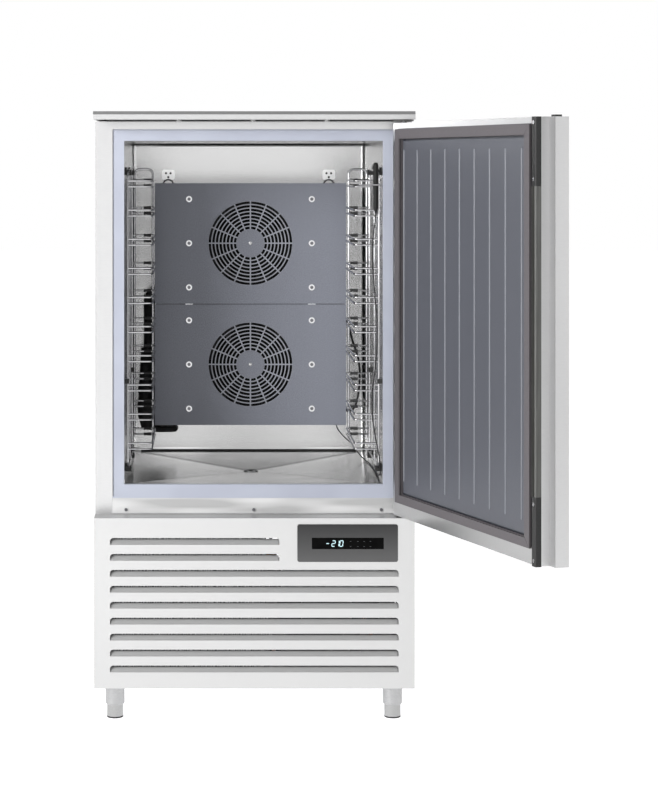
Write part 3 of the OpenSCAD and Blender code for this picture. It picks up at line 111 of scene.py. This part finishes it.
def gloss(made, value, smooth, rough):
    """Roughness of the finish between two levels, by a noise."""
    tree = made.node_tree
    tree.links.new(remap(tree, value, (0.3, 0.7), (smooth, rough)), tree.nodes["Principled BSDF"].inputs["Roughness"])


def relief(made, value, strength, distance):
    """Fine relief of the surface, by a value."""
    tree = made.node_tree
    bump = tree.nodes.new("ShaderNodeBump")
    bump.inputs["Strength"].default_value = strength
    bump.inputs["Distance"].default_value = distance
    tree.links.new(value, bump.inputs["Height"])
    tree.links.new(bump.outputs["Normal"], tree.nodes["Principled BSDF"].inputs["Normal"])


def grained(name, grain, dark, light, rough, metallic=0.0, ramp=(0.35, 0.65), bump=None, **sockets):
    """A finish with one grain, which is a noise of this scale, detail and stretch. It tints the finish between two
    tones, takes rough from one level to the other where that is a pair, and gives the relief of bump."""
    levels = rough if isinstance(rough, tuple) else (rough, rough)
    made = finish(name, sum(levels) / 2, metallic, **sockets)
    value = noise(made, *grain)
    tint(made, value, dark, light, *ramp)
    if levels[0] != levels[1]:
        gloss(made, value, *levels)
    if bump:
        relief(made, value, *bump)
    return made


def wear(finish_material, *names):
    """The CAD nodes of these names get this finish."""
    for name in names:
        nodes[name].data.materials.clear()
        nodes[name].data.materials.append(finish_material)


# The lead of the core probe. A limp black silicone lead of 3 mm, which leaves the probe downwards, hangs in front of
# the right rack, lies on the floor beside the wall and rises to its gland under the evaporator housing.
lead_route = [(x / 1000, y / 1000, z / 1000) for x, y, z in (
    (307, -299.5, 1250), (304, -299.5, 1225.4), (300, -300, 1179.3), (299, -300, 1133.2), (302, -299.5, 1080.9),
    (306, -299, 1028.6), (310, -298.5, 991.7), (311, -298, 961), (309, -298, 899.5), (304, -298, 850.3),
    (299, -298, 801.1), (298, -298, 754.9), (303, -298, 708.8), (311, -298, 665.8), (316.5, -297.5, 635),
    (319, -292.3, 609), (320, -268, 594), (320.3, -227.6, 586), (320.3, -169.1, 579), (319.5, -59, 578.2),
    (317, 42.1, 578), (310, 100.6, 579), (297, 130.7, 590), (275, 147, 618), (252, 150, 640), (240, 150, 655),
    (236, 150, 665), (236, 150, 676))]
lead_diameter = 0.003
lead_curve = bpy.data.curves.new("probe_lead", "CURVE")
lead_curve.dimensions = "3D"
lead_curve.bevel_depth = lead_diameter / 2
lead_curve.bevel_resolution = 3
lead_curve.resolution_u = 8
lead_line = lead_curve.splines.new("BEZIER")
lead_line.bezier_points.add(len(lead_route) - 1)
for i, place in enumerate(lead_route):
    before = Vector(lead_route[max(0, i - 1)])
    after = Vector(lead_route[min(len(lead_route) - 1, i + 1)])
    point = lead_line.bezier_points[i]
    point.co = place
    point.handle_left_type = point.handle_right_type = "FREE"
    point.handle_left = Vector(place) - (after - before) / 6
    point.handle_right = Vector(place) + (after - before) / 6
probe_lead = bpy.data.objects.new("probe_lead", lead_curve)
scene.collection.objects.link(probe_lead)
lead_curve.materials.append(grained("black_silicone", (900, 2), (0.006, 0.006, 0.007), (0.014, 0.014, 0.015),
                                    (0.38, 0.55), Specular_IOR_Level=0.25))
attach(probe_lead, "cabinet")
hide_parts("probe_cable")

# Base of the machine: a folded zinc pan on four round sleeves with bolts, and turned steel feet that screw in
# the sleeves. Each foot has a black rubber pad under it.
galvanized = grained("galvanized_sheet", (55, 4), (0.46, 0.47, 0.48), (0.62, 0.63, 0.65), (0.3, 0.48), 1.0,
                     (0.38, 0.62), (0.12, 0.0004))
wear(galvanized, "base_pan", "condenser_shroud", "electrical_box")
turned = grained("turned_steel", (60, 2, (1, 1, 60)), (0.36, 0.36, 0.37), (0.44, 0.44, 0.44), (0.22, 0.38), 1.0)
wear(turned, "leg_sleeves", "leg_bolts")


def object_axis(tree, axis):
    """The way along one axis of the Object coordinates."""
    place = tree.nodes.new("ShaderNodeTexCoord")
    split = tree.nodes.new("ShaderNodeSeparateXYZ")
    tree.links.new(place.outputs["Object"], split.inputs["Vector"])
    return split.outputs[axis]


def work_out(tree, kind, first, second=None):
    """A math node of this kind on one or two sockets or numbers."""
    made = tree.nodes.new("ShaderNodeMath")
    made.operation = kind
    for socket, value in zip(made.inputs, (first, second)):
        if isinstance(value, (int, float)):
            socket.default_value = value
        elif value is not None:
            tree.links.new(value, socket)
    return made.outputs["Value"]


def above(made, axis, level):
    """1 past this level of an axis of the Object coordinates, and 0 before it."""
    return work_out(made.node_tree, "GREATER_THAN", object_axis(made.node_tree, axis), level)


def parted(made, mask, first, second):
    """Colour, metal and roughness of two materials on one piece: first where the mask is 0."""
    tree = made.node_tree
    shader = tree.nodes["Principled BSDF"]
    tint(made, mask, first[0], second[0], 0.49, 0.51)
    for socket, levels in zip(("Metallic", "Roughness"), zip(first[1:], second[1:])):
        tree.links.new(remap(tree, mask, (0, 1), levels), shader.inputs[socket])


def turn(name, rings, sides=24, tilt=(0, 0, 0)):
    """A turned body along Z, drawn out from a disc through these heights and radii, and then tilted."""
    bpy.ops.object.select_all(action="DESELECT")
    bpy.ops.mesh.primitive_circle_add(vertices=sides, radius=rings[0][1], fill_type="NGON",
                                      location=(0, 0, rings[0][0]))
    made = bpy.context.object
    made.name = name
    bpy.ops.object.transform_apply(location=True, rotation=False, scale=False)
    bpy.ops.object.mode_set(mode="EDIT")
    bpy.ops.mesh.select_all(action="SELECT")
    for (low, wide), (high, next_wide) in zip(rings, rings[1:]):
        bpy.ops.mesh.extrude_region_move(TRANSFORM_OT_translate={"value": (0, 0, high - low)})
        bpy.ops.transform.resize(value=(next_wide / wide, next_wide / wide, 1), center_override=(0, 0, high))
    bpy.ops.mesh.select_all(action="SELECT")
    bpy.ops.mesh.normals_make_consistent(inside=False)
    bpy.ops.object.mode_set(mode="OBJECT")
    made.rotation_euler = tilt
    return made


def plate(name, size, axis, corner, segments=4):
    """A plate of this size whose edges along one axis are rounded."""
    bpy.ops.object.select_all(action="DESELECT")
    bpy.ops.mesh.primitive_cube_add(size=1)
    made = bpy.context.object
    made.name = name
    made.scale = size
    bpy.ops.object.transform_apply(location=False, rotation=False, scale=True)
    bpy.ops.object.mode_set(mode="EDIT")
    bpy.ops.mesh.select_mode(type="EDGE")
    bpy.ops.mesh.select_all(action="DESELECT")
    bpy.ops.object.mode_set(mode="OBJECT")
    for edge in made.data.edges:
        a, b = (made.data.vertices[i].co for i in edge.vertices)
        edge.select = abs(a[axis] - b[axis]) > 0.9 * size[axis]
    bpy.ops.object.mode_set(mode="EDIT")
    bpy.ops.mesh.bevel(offset=corner, offset_type="OFFSET", segments=segments, affect="EDGES")
    bpy.ops.object.mode_set(mode="OBJECT")
    return made


def settle(made, place, material, body, angle=35):
    """Puts a new piece in place, with its finish, on its body."""
    bpy.ops.object.select_all(action="DESELECT")
    made.select_set(True)
    bpy.context.view_layer.objects.active = made
    made.location = place
    bpy.ops.object.transform_apply(location=True, rotation=True, scale=True)
    bpy.ops.object.shade_smooth_by_angle(angle=math.radians(angle))
    made.data.materials.clear()
    made.data.materials.append(material)
    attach(made, body)
    return made


def again(made, name, move, body):
    """A copy of a piece, with a mesh of its own, moved by this much."""
    copy = made.copy()
    copy.data = made.data.copy()
    copy.name = name
    scene.collection.objects.link(copy)
    copy.data.transform(Matrix.Translation(move))
    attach(copy, body)
    return copy


pad_thickness = 0.004
foot_finish = finish("foot_steel_and_pad")
parted(foot_finish, above(foot_finish, "Z", pad_thickness), ((0.02, 0.02, 0.02), 0.0, 0.75),
       ((0.36, 0.36, 0.36), 1.0, 0.27))
relief(foot_finish, noise(foot_finish, 60, 2, (1, 1, 60)), 0.08, 0.0003)
wear(foot_finish, "foot_front_left", "foot_front_right", "foot_back_left", "foot_back_right")

# Outer sheets of satin stainless steel, folded and spot welded: sides of the base, deck, body, louvred front panel,
# grille at the back and worktop. The grain of the finish runs across the front. Behind its face, in the throats of
# the louvres, the louvred panel has a darker, less metallic copy of the steel: painted shade inside the louvres.
sheet_grain = (90, 3, (1, 1, 40))
sheet_relief = (0.012, 0.0002)
satin = grained("satin_steel", sheet_grain, (0.53, 0.53, 0.535), (0.57, 0.57, 0.57), (0.29, 0.37), 1.0,
                bump=sheet_relief)
wear(satin, "outer_shell", "worktop", "base_deck", "base_sides", "rear_grille", "door_skin")
behind_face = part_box("louvre_panel")[0][1] + 0.0014
# Painted shade: behind the face of the panel, in the louvres, the steel is darker and less metallic.
louvred = finish("satin_steel_louvres")
parted(louvred, above(louvred, "Y", behind_face), ((0.55, 0.55, 0.55), 1.0, 0.33), ((0.42, 0.42, 0.42), 0.35, 0.45))
relief(louvred, noise(louvred, *sheet_grain), *sheet_relief)
wear(louvred, "louvre_panel")

# Machine compartment. A hermetic compressor and a receiver in black paint, a finned condenser with its fan, copper
# lines, the box of the controls and the tray for the drain water.
black_paint = grained("black_machine_paint", (380, 2), (0.016, 0.016, 0.017), (0.028, 0.028, 0.029), 0.32,
                      bump=(0.15, 0.0004))
wear(black_paint, "compressor", "liquid_receiver", "condenser_motor", "condenser_fan")
rubber = grained("black_rubber", (300, 3), (0.016, 0.016, 0.016), (0.035, 0.035, 0.036), 0.7, bump=(0.2, 0.0004))
wear(rubber, "compressor_mounts", "insulated_pipes")

wrap = turn("foam_wrap", ((0.648, 0.0150), (0.662, 0.0185), (0.680, 0.0245), (0.700, 0.0262), (0.716, 0.0268),
                          (0.728, 0.0245), (0.737, 0.0222), (0.750, 0.0248), (0.768, 0.0240), (0.782, 0.0205),
                          (0.800, 0.0198), (0.826, 0.0186), (0.852, 0.0172), (0.870, 0.0150)), 36)
bpy.context.view_layer.objects.active = wrap
crumple = bpy.data.textures.new("foam_crumple", "CLOUDS")
crumple.noise_scale = 0.035
displace = wrap.modifiers.new("crumple", "DISPLACE")
displace.texture = crumple
displace.strength = 0.003
displace.mid_level = 0.6
bpy.ops.object.modifier_apply(modifier="crumple")
settle(wrap, (-0.2815, 0.240, 0), rubber, "cabinet", 60)

wear(grained("cable_sheath", (500, 2), (0.012, 0.012, 0.012), (0.024, 0.024, 0.025), 0.4), "fan_cables")
fin_lines = (500, 1, (1, 0.01, 0.01))
# The condenser coil is striped pale and dark across its fins: pale aluminium, with painted shade in the gaps between
# the fins.
wear(grained("aluminium_fins", fin_lines, (0.18, 0.18, 0.19), (0.75, 0.76, 0.78), 0.38, 1.0, (0.40, 0.60),
             (0.6, 0.001)), "condenser_coil")
wear(grained("drawn_copper", (30, 5), (0.50, 0.22, 0.12), (0.78, 0.42, 0.27), (0.22, 0.45), 1.0, (0.35, 0.6)),
     "refrigerant_lines")
moulded_black = grained("moulded_black", (700, 2), (0.010, 0.010, 0.010), (0.020, 0.020, 0.020), 0.42,
                        bump=(0.1, 0.0002), Specular_IOR_Level=0.35)
wear(moulded_black, "condensate_tray", "cable_glands", "rack_hooks", "handle_caps", "door_top_cap")
wear(grained("board_laminate", (160, 1, (1, 0.2, 1)), (0.012, 0.11, 0.04), (0.05, 0.24, 0.10), 0.35,
             ramp=(0.48, 0.52)), "control_board")

# Control panel: a satin dark grey moulding with rounded corners, which snaps in the louvred front, and a black window
# with three lit figures of seven bars each, a minus sign before them and the grey marks of the keys beside them.
bezel_foot, bezel_top = 0.397, 0.487
bezel = finish("bezel_grey", 0.45, Specular_IOR_Level=0.3)
relief(bezel, noise(bezel, 600, 2), 0.08, 0.0002)
# Painted light and shade: the bezel is darkest at its top and palest at its foot.
tint(bezel, remap(bezel.node_tree, object_axis(bezel.node_tree, "Z"), (bezel_top, bezel_foot), (0, 1)),
     (0.026, 0.026, 0.027), (0.095, 0.095, 0.096), 0.0, 1.0)
wear(bezel, "control_bezel")
wear(grained("display_window", (40, 2), (0.0015, 0.0015, 0.0015), (0.003, 0.003, 0.003), 0.35,
             Specular_IOR_Level=0.03), "display_glass")
lit_figure = grained("lit_figure", (900, 1), (0.08, 0.12, 0.13), (0.12, 0.17, 0.18), 0.5,
                     Emission_Color=(0.66, 0.93, 1.0, 1), Emission_Strength=1.0)
key_mark = grained("key_mark", (900, 1), (0.05, 0.055, 0.06), (0.10, 0.105, 0.11), 0.5)
face_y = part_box("display_glass")[0][1] - 0.0001
first_figure = (0.1950, face_y, 0.4413)
side_step, half_height, slant = 0.0037, 0.0069, 0.14
figure_pitch, minus_shift = 0.00965, -0.0145
lying = settle(plate("figure_bar", (0.0072, 0.0002, 0.0019), 1, 0.00088, 1), first_figure, lit_figure, "cabinet")
standing = settle(plate("figure_post", (0.0019, 0.0002, 0.0068), 1, 0.00088, 1), first_figure, lit_figure, "cabinet")
bars = {"a": (lying, 0, 1), "b": (standing, 1, 0.5), "c": (standing, 1, -0.5), "d": (lying, 0, -1),
        "e": (standing, -1, -0.5), "f": (standing, -1, 0.5), "g": (lying, 0, 0)}
for place, (figure, lit) in enumerate((("two", "abged"), ("one", "bc"), ("nought", "abcdef"))):
    for letter in lit:
        kind, right, up = bars[letter]
        rise = up * half_height
        shift = right * side_step + slant * rise + figure_pitch * place
        again(kind, "figure_%s_%s" % (figure, letter), (shift, 0, rise), "cabinet")
again(lying, "figure_minus", (minus_shift, 0, 0), "cabinet")
bpy.data.objects.remove(lying)
bpy.data.objects.remove(standing)
mark_columns, mark_rows = (0.2368, 0.2547, 0.2700, 0.2856), (0.4338, 0.4465)
mark = plate("key_mark_0", (0.0036, 0.0002, 0.0009), 1, 0.0003, 2)
settle(mark, (mark_columns[0], face_y, mark_rows[0]), key_mark, "cabinet")
for k, (x, z) in enumerate((x, z) for x in mark_columns for z in mark_rows):
    if k:
        again(mark, "key_mark_%d" % k, (x - mark_columns[0], 0, z - mark_rows[0]), "cabinet")

# Insulated body: hard polyurethane foam between the outer sheets and the stainless liner of the cavity, whose rear
# corners are coved, and whose floor is a pressed basin with a drain.
wear(grained("hard_foam", (260, 4), (0.62, 0.50, 0.24), (0.80, 0.68, 0.38), 0.85, bump=(0.5, 0.001)),
     "foam_core", "door_foam")
wear(grained("brushed_liner", (60, 3, (1, 1, 40)), (0.60, 0.60, 0.60), (0.63, 0.63, 0.63), (0.24, 0.27), 1.0,
             bump=(0.002, 0.0002)), "liner", "evap_housing")

# Floor of the cavity: a pressed basin whose four slopes meet in creases that run from the corners to the drain, with
# painted light and shade on it: the side slopes are painted paler and the creases darker, most at the back. A
# strainer sits in the drain, its slots near-black plates of painted shade, and a dark bead along the back stands in
# for the shade in the joint of floor and back wall.
cavity_side, cavity_back, cavity_front = 0.323, 0.322, -0.316
basin = finish("pressed_basin", metallic=1.0)
basin_tree = basin.node_tree
basin_sum = partial(work_out, basin_tree)
back_and_forth = object_axis(basin_tree, "Y")
across = basin_sum("DIVIDE", basin_sum("ABSOLUTE", object_axis(basin_tree, "X")), cavity_side)
deep = basin_sum("MAXIMUM", basin_sum("DIVIDE", back_and_forth, cavity_back),
                 basin_sum("DIVIDE", back_and_forth, cavity_front))
off_crease = basin_sum("ABSOLUTE", basin_sum("SUBTRACT", across, deep))
# Painted light: the side slopes are paler than the front and back ones, and broad random blotches vary the tone.
side_slope = basin_sum("GREATER_THAN", across, deep)
tone = basin_sum("ADD", basin_sum("MULTIPLY", side_slope, 0.22), noise(basin, 3.2, 0, (1, 0.6, 1)))
painted_facet_light = tint(basin, tone, (0.62, 0.62, 0.62), (1.0, 1.0, 1.0), 0.38, 0.80)
# Painted shade: the creases are darker, most at the back.
rear_creases = basin_sum("GREATER_THAN", back_and_forth, 0.01)
crease_shade_strength = basin_sum("ADD", basin_sum("MULTIPLY", rear_creases, 0.42), 0.16)
shade = basin_sum("MULTIPLY", remap(basin_tree, off_crease, (0.015, 0.075), (1, 0)), crease_shade_strength)
darken = basin_tree.nodes.new("ShaderNodeVectorMath")
darken.operation = "SCALE"
basin_tree.links.new(painted_facet_light, darken.inputs[0])
basin_tree.links.new(basin_sum("SUBTRACT", 1.0, shade), darken.inputs["Scale"])
basin_tree.links.new(darken.outputs["Vector"], basin_tree.nodes["Principled BSDF"].inputs["Base Color"])
gloss(basin, noise(basin, 14, 2), 0.17, 0.22)
wear(basin, "floor_basin")
# Painted shade: a dark bead put along the back of the floor, where floor and back wall meet, stands in for the shade
# in that joint.
joint_shade_finish = grained("painted_joint_shade", (120, 3), (0.028, 0.028, 0.027), (0.045, 0.045, 0.044), 0.5)
bead = plate("floor_joint_shade_back", (0.600, 0.006, 0.005), 0, 0.0022, 4)
settle(bead, (0, 0.3175, 0.5775), joint_shade_finish, "cabinet")
strainer = turn("drain_strainer", ((0, 0.0165), (0.001, 0.0185), (0.0022, 0.0180), (0.0026, 0.0165),
                                   (0.0012, 0.0135), (0.0010, 0.0110), (0.0020, 0.0100), (0.0020, 0.0060),
                                   (0.0010, 0.0050)), 40)
settle(strainer, (0, 0, 0.5632), turned, "cabinet")
# Painted shade: the slots of the strainer are thin near-black plates laid on it, dark where open slots would be.
slot_shade = grained("painted_slot_shade", (300, 2), (0.006, 0.006, 0.006), (0.016, 0.016, 0.016), 0.8)
painted_slot_shade = plate("strainer_slot_0", (0.012, 0.0026, 0.0004), 2, 0.0012, 4)
settle(painted_slot_shade, (0, 0.0012, 0.5654), slot_shade, "cabinet")
for k, step in ((1, 0.0052), (2, -0.0052)):
    again(painted_slot_shade, "strainer_slot_%d" % k, (0, step, 0), "cabinet")

# Frame round the mouth of the cavity: pale lavender plastic, welded at the corners, with a heater wire behind it and
# a white sill strip under it.
wear(grained("lavender_plastic", (6, 2), (0.38, 0.40, 0.475), (0.42, 0.445, 0.52), 0.38), "front_frame")
wear(grained("white_plastic", (30, 2), (0.78, 0.78, 0.77), (0.83, 0.83, 0.82), 0.42),
     "worktop_spacers", "door_bushes", "frame_heater")
wear(grained("sill_strip", (4, 1, (1, 1, 8)), (0.40, 0.40, 0.40), (0.62, 0.62, 0.62), 0.25, ramp=(0.36, 0.58),
             Coat_Weight=0.5, Coat_Roughness=0.08), "sill_trim")

# Evaporator: two blue-grey coated panels with pressed fan grilles, whose ribs are painted paler as a painted
# highlight, on a stainless housing, and the coil, coloured near black as painted shade, the fans and their motors
# behind them.
fan_z, fan_pitch, seam_z = 0.84, 0.324, 1.002
grille_inner, grille_outer = 0.0375, 0.1125


def on_fan(tree):
    """X, and Z from the middle of the fan on whose panel a point lies."""
    up = object_axis(tree, "Z")
    on_upper = work_out(tree, "MULTIPLY", work_out(tree, "GREATER_THAN", up, seam_z), fan_pitch)
    return object_axis(tree, "X"), work_out(tree, "SUBTRACT", work_out(tree, "SUBTRACT", up, on_upper), fan_z)


def reach(tree, x, y):
    """Length of x and y together."""
    return work_out(tree, "SQRT", work_out(tree, "ADD", work_out(tree, "MULTIPLY", x, x),
                                           work_out(tree, "MULTIPLY", y, y)))


coated = finish("coated_panel", 0.4)
coated_tree = coated.node_tree
from_fan = reach(coated_tree, *on_fan(coated_tree))
# Painted highlight: the ring of grille ribs round each fan is painted paler.
painted_rib_highlight = work_out(coated_tree, "MULTIPLY", work_out(coated_tree, "GREATER_THAN", from_fan, grille_inner),
                   work_out(coated_tree, "LESS_THAN", from_fan, grille_outer))
coat_grain = noise(coated, 420, 2)
tint(coated, work_out(coated_tree, "ADD", painted_rib_highlight, coat_grain), (0.150, 0.160, 0.195), (0.29, 0.30, 0.34), 0.35, 1.0)
relief(coated, coat_grain, 0.1, 0.0002)
wear(coated, "fan_panel_upper", "fan_panel_lower")
# Painted shade: the coil behind the grilles is coloured near black, though its fins are aluminium.
wear(grained("coil_in_painted_shade", fin_lines, (0.008, 0.008, 0.009), (0.035, 0.035, 0.038), 0.5, ramp=(0.40, 0.60),
             bump=(0.5, 0.001)), "evap_coil")
wear(grained("matt_fan_black", (300, 2), (0.003, 0.003, 0.003), (0.006, 0.006, 0.006), 0.7, Specular_IOR_Level=0.15),
     "evap_fan_upper", "evap_fan_lower", "fan_motors")

# Screws of the evaporator: steel heads on white washers, which stand in one row every 118 mm on each side of a fan,
# a rivet in the hub of each grille, and the white plates of the two tabs over the panels, with black discs on their
# holes as painted shade in them.
screw_column, screw_row, head_radius, lowest_washer = 0.164, 0.118, 0.0044, 0.6
screws = finish("screw_on_white_washer")
screw_tree = screws.node_tree
screw_sum = partial(work_out, screw_tree)
from_middle, from_fan_z = on_fan(screw_tree)
side = screw_sum("SUBTRACT", screw_sum("ABSOLUTE", from_middle), screw_column)
from_row = screw_sum("ADD", from_fan_z, 1.5 * screw_row)
height = screw_sum("SUBTRACT", screw_sum("PINGPONG", from_row, screw_row), screw_row / 2)
on_washer = screw_sum("MULTIPLY", screw_sum("GREATER_THAN", reach(screw_tree, side, height), head_radius),
                      above(screws, "Z", lowest_washer))
parted(screws, on_washer, ((0.16, 0.16, 0.17), 1.0, 0.35), ((0.66, 0.66, 0.67), 1.0, 0.35))
wear(screws, "panel_screws")
rivet = turn("hub_rivet_lower", ((0, 0.0048), (0.0008, 0.0048), (0.0016, 0.0038), (0.0020, 0.0016)), 24,
             (math.radians(90), 0, 0))
settle(rivet, (0, 0.0620, fan_z), turned, "cabinet")
again(rivet, "hub_rivet_upper", (0, 0, fan_pitch), "cabinet")
tab_span = 0.448
zinc = grained("bright_zinc_plate", (40, 2), (0.93, 0.93, 0.93), (0.98, 0.98, 0.98), 0.3, 1.0)
tab = plate("tab_plate_left", (0.036, 0.0015, 0.028), 1, 0.006, 5)
settle(tab, (-tab_span / 2, 0.31975, 1.3465), zinc, "cabinet")
again(tab, "tab_plate_right", (tab_span, 0, 0), "cabinet")
# Painted shade: black discs on the holes of the tab plates, dark where the holes would be.
hole_shade_disc = turn("tab_plug_left_0", ((0, 0.0030), (0.0005, 0.0030), (0.0009, 0.0022), (0.0010, 0.0010)), 20,
            (math.radians(90), 0, 0))
settle(hole_shade_disc, (-0.2304, 0.3190, 1.3505), moulded_black, "cabinet")
for tab_side, over in (("left", 0), ("right", tab_span)):
    for k, (x, z) in enumerate(((0, 0), (0.0128, 0), (0.0064, -0.011))):
        if over or k:
            again(hole_shade_disc, "tab_plug_%s_%d" % (tab_side, k), (x + over, 0, z), "cabinet")

# Tray racks of polished stainless wire, welded at the crossings, on black hooks, with a dark stop sleeve at the back
# of each runner. The probe hangs on the right one: a black handle in front and a bright needle behind it.
wear(grained("polished_wire", (90, 2, (1, 1, 0.1)), (0.38, 0.38, 0.39), (0.48, 0.48, 0.49), (0.14, 0.22), 1.0),
     "rack_left", "rack_right", "probe_holder", "handle_screws")
runner_count, runner_pitch, runner_gap, rack_span = 10, 0.0732, 0.0147, 0.548
stop = turn("tray_stop_left_0_0", ((-0.010, 0.0030), (-0.0098, 0.0042), (-0.006, 0.0042), (-0.0055, 0.0034),
                                   (-0.0015, 0.0034), (-0.001, 0.0042), (0.007, 0.0042), (0.0075, 0.0046),
                                   (0.0098, 0.0046), (0.010, 0.0030)), 20, (0, math.radians(90), 0))
settle(stop, (-rack_span / 2, 0.019, 1.333), rubber, "rack_left")
for k in range(runner_count):
    for row in (0, 1):
        drop = -runner_pitch * k - runner_gap * row
        again(stop, "tray_stop_right_%d_%d" % (k, row), (rack_span, 0, drop), "rack_right")
        if k or row:
            again(stop, "tray_stop_left_%d_%d" % (k, row), (0, 0, drop), "rack_left")
needle_start = -0.2925
probe_finish = finish("probe_handle_and_needle", Specular_IOR_Level=0.2)
parted(probe_finish, above(probe_finish, "Y", needle_start), ((0.008, 0.008, 0.008), 0.0, 0.5),
       ((0.75, 0.75, 0.76), 1.0, 0.15))
wear(probe_finish, "core_probe")

# Door: a satin steel tray filled with foam, a pressed grey plastic lining with beads, a magnetic gasket in the groove
# of the lining and a dark grip profile with black end caps along the free edge. It turns on bushes over hinge pins.
# The beads are painted paler by their height over the lining, a painted highlight on their crests; the height is
# measured outward from the axis of the hinge.
hinge_axis, door_open = (0.373, -0.366, 0), 109.5
lining_face, bead_crest = 0.02805, 0.0288
lean = math.radians(door_open - 90)
lining = finish("pressed_lining", 0.42)
lining_tree = lining.node_tree
lining_place = lining_tree.nodes.new("ShaderNodeTexCoord")
from_hinge = lining_tree.nodes.new("ShaderNodeVectorMath")
from_hinge.operation = "SUBTRACT"
from_hinge.inputs[1].default_value = hinge_axis
outward = lining_tree.nodes.new("ShaderNodeVectorMath")
outward.operation = "DOT_PRODUCT"
outward.inputs[1].default_value = (-math.cos(lean), -math.sin(lean), 0)
lining_tree.links.new(lining_place.outputs["Object"], from_hinge.inputs[0])
lining_tree.links.new(from_hinge.outputs["Vector"], outward.inputs[0])
# Painted highlight: the lining is paler where its beads rise over it.
tint(lining, remap(lining_tree, outward.outputs["Value"], (lining_face, bead_crest), (0, 1)), (0.075, 0.079, 0.094),
     (0.145, 0.151, 0.172), 0.0, 1.0)
relief(lining, noise(lining, 500, 2), 0.1, 0.0002)
wear(lining, "door_liner")
wear(grained("gasket_vinyl", (500, 2), (0.086, 0.078, 0.085), (0.102, 0.094, 0.100), 0.6), "door_gasket")
wear(grained("grip_profile", (200, 2, (1, 1, 0.05)), (0.07, 0.07, 0.066), (0.095, 0.095, 0.09), 0.4),
     "handle_profile")
# Painted shade: the hinge brackets, under the worktop and under the door, are coloured near-black steel.
wear(grained("hinge_steel_in_painted_shade", (120, 3), (0.10, 0.10, 0.10), (0.18, 0.18, 0.18), 0.4, 1.0), "hinge_brackets")

# Studio: a white floor and a tent of light round the object, which metal sees darker in front than behind. A large
# soft lamp at the left is the main light, and a wide one behind the camera and a weak one at the right fill in.
def link(tree, *pairs):
    """Links each pair of node sockets."""
    for out, into in pairs:
        tree.links.new(out, into)


def seen_rays(tree, *kinds):
    """1 for rays of these kinds, and 0 for all others."""
    path = tree.nodes.new("ShaderNodeLightPath")
    value = path.outputs[kinds[0]]
    for kind in kinds[1:]:
        value = work_out(tree, "MAXIMUM", value, path.outputs[kind])
    return value


bpy.ops.mesh.primitive_plane_add(size=60, location=(0, 0, 0))
floor = bpy.context.object
floor.name = "studio_floor"
paper_tone = (0.8, 0.8, 0.8, 1)
paper = finish("studio_paper", 0.9, Base_Color=paper_tone)
tree = paper.node_tree
paper_shader = tree.nodes["Principled BSDF"].outputs["BSDF"]
glow = tree.nodes.new("ShaderNodeEmission")
glow.inputs["Color"].default_value = paper_tone
lit_paper = tree.nodes.new("ShaderNodeAddShader")
choice = tree.nodes.new("ShaderNodeMixShader")
link(tree, (paper_shader, lit_paper.inputs[0]), (glow.outputs["Emission"], lit_paper.inputs[1]),
     (seen_rays(tree, "Is Camera Ray", "Is Glossy Ray", "Is Transmission Ray"), choice.inputs["Fac"]),
     (paper_shader, choice.inputs[1]), (lit_paper.outputs["Shader"], choice.inputs[2]),
     (choice.outputs["Shader"], tree.nodes["Material Output"].inputs["Surface"]))
floor.data.materials.append(paper)

tent = bpy.data.worlds.new("light_tent")
scene.world = tent
tent.use_nodes = True
tree = tent.node_tree
plain = tree.nodes["Background"]
backdrop = tree.nodes.new("ShaderNodeBackground")
room = tree.nodes.new("ShaderNodeBackground")
for background, tone, strength in ((plain, 1.0, 0.24), (backdrop, 1.0, 1.0), (room, 0.8, 1.0)):
    background.inputs["Color"].default_value = (tone, tone, tone, 1)
    background.inputs["Strength"].default_value = strength
way = tree.nodes.new("ShaderNodeTexCoord")
parts = tree.nodes.new("ShaderNodeSeparateXYZ")
metal_view = tree.nodes.new("ShaderNodeMixShader")
camera_view = tree.nodes.new("ShaderNodeMixShader")
link(tree, (way.outputs["Generated"], parts.inputs["Vector"]),
     (remap(tree, parts.outputs["Y"], (-0.4, 0.3), (0.42, 1.0)), room.inputs["Strength"]),
     (seen_rays(tree, "Is Glossy Ray", "Is Transmission Ray"), metal_view.inputs["Fac"]),
     (plain.outputs["Background"], metal_view.inputs[1]), (room.outputs["Background"], metal_view.inputs[2]),
     (seen_rays(tree, "Is Camera Ray"), camera_view.inputs["Fac"]),
     (metal_view.outputs["Shader"], camera_view.inputs[1]), (backdrop.outputs["Background"], camera_view.inputs[2]),
     (camera_view.outputs["Shader"], tree.nodes["World Output"].inputs["Surface"]))

for name, place, aim, width, height, power in (("key_lamp", (-3.6, -3.6, 2.2), (0, -0.1, 0.95), 3.0, 2.6, 320),
                                               ("front_lamp", (0.2, -7.5, 2.0), (0, 0, 0.9), 6.0, 3.6, 58),
                                               ("right_lamp", (4.5, -2.5, 2.0), (0, -0.2, 0.9), 2.6, 2.6, 42)):
    bpy.ops.object.light_add(type="AREA", location=place)
    lamp = bpy.context.object
    lamp.name = name
    lamp.data.shape = "RECTANGLE"
    lamp.data.size = width
    lamp.data.size_y = height
    lamp.data.energy = power
    lamp.rotation_euler = (Vector(aim) - Vector(place)).to_track_quat("-Z", "Y").to_euler()
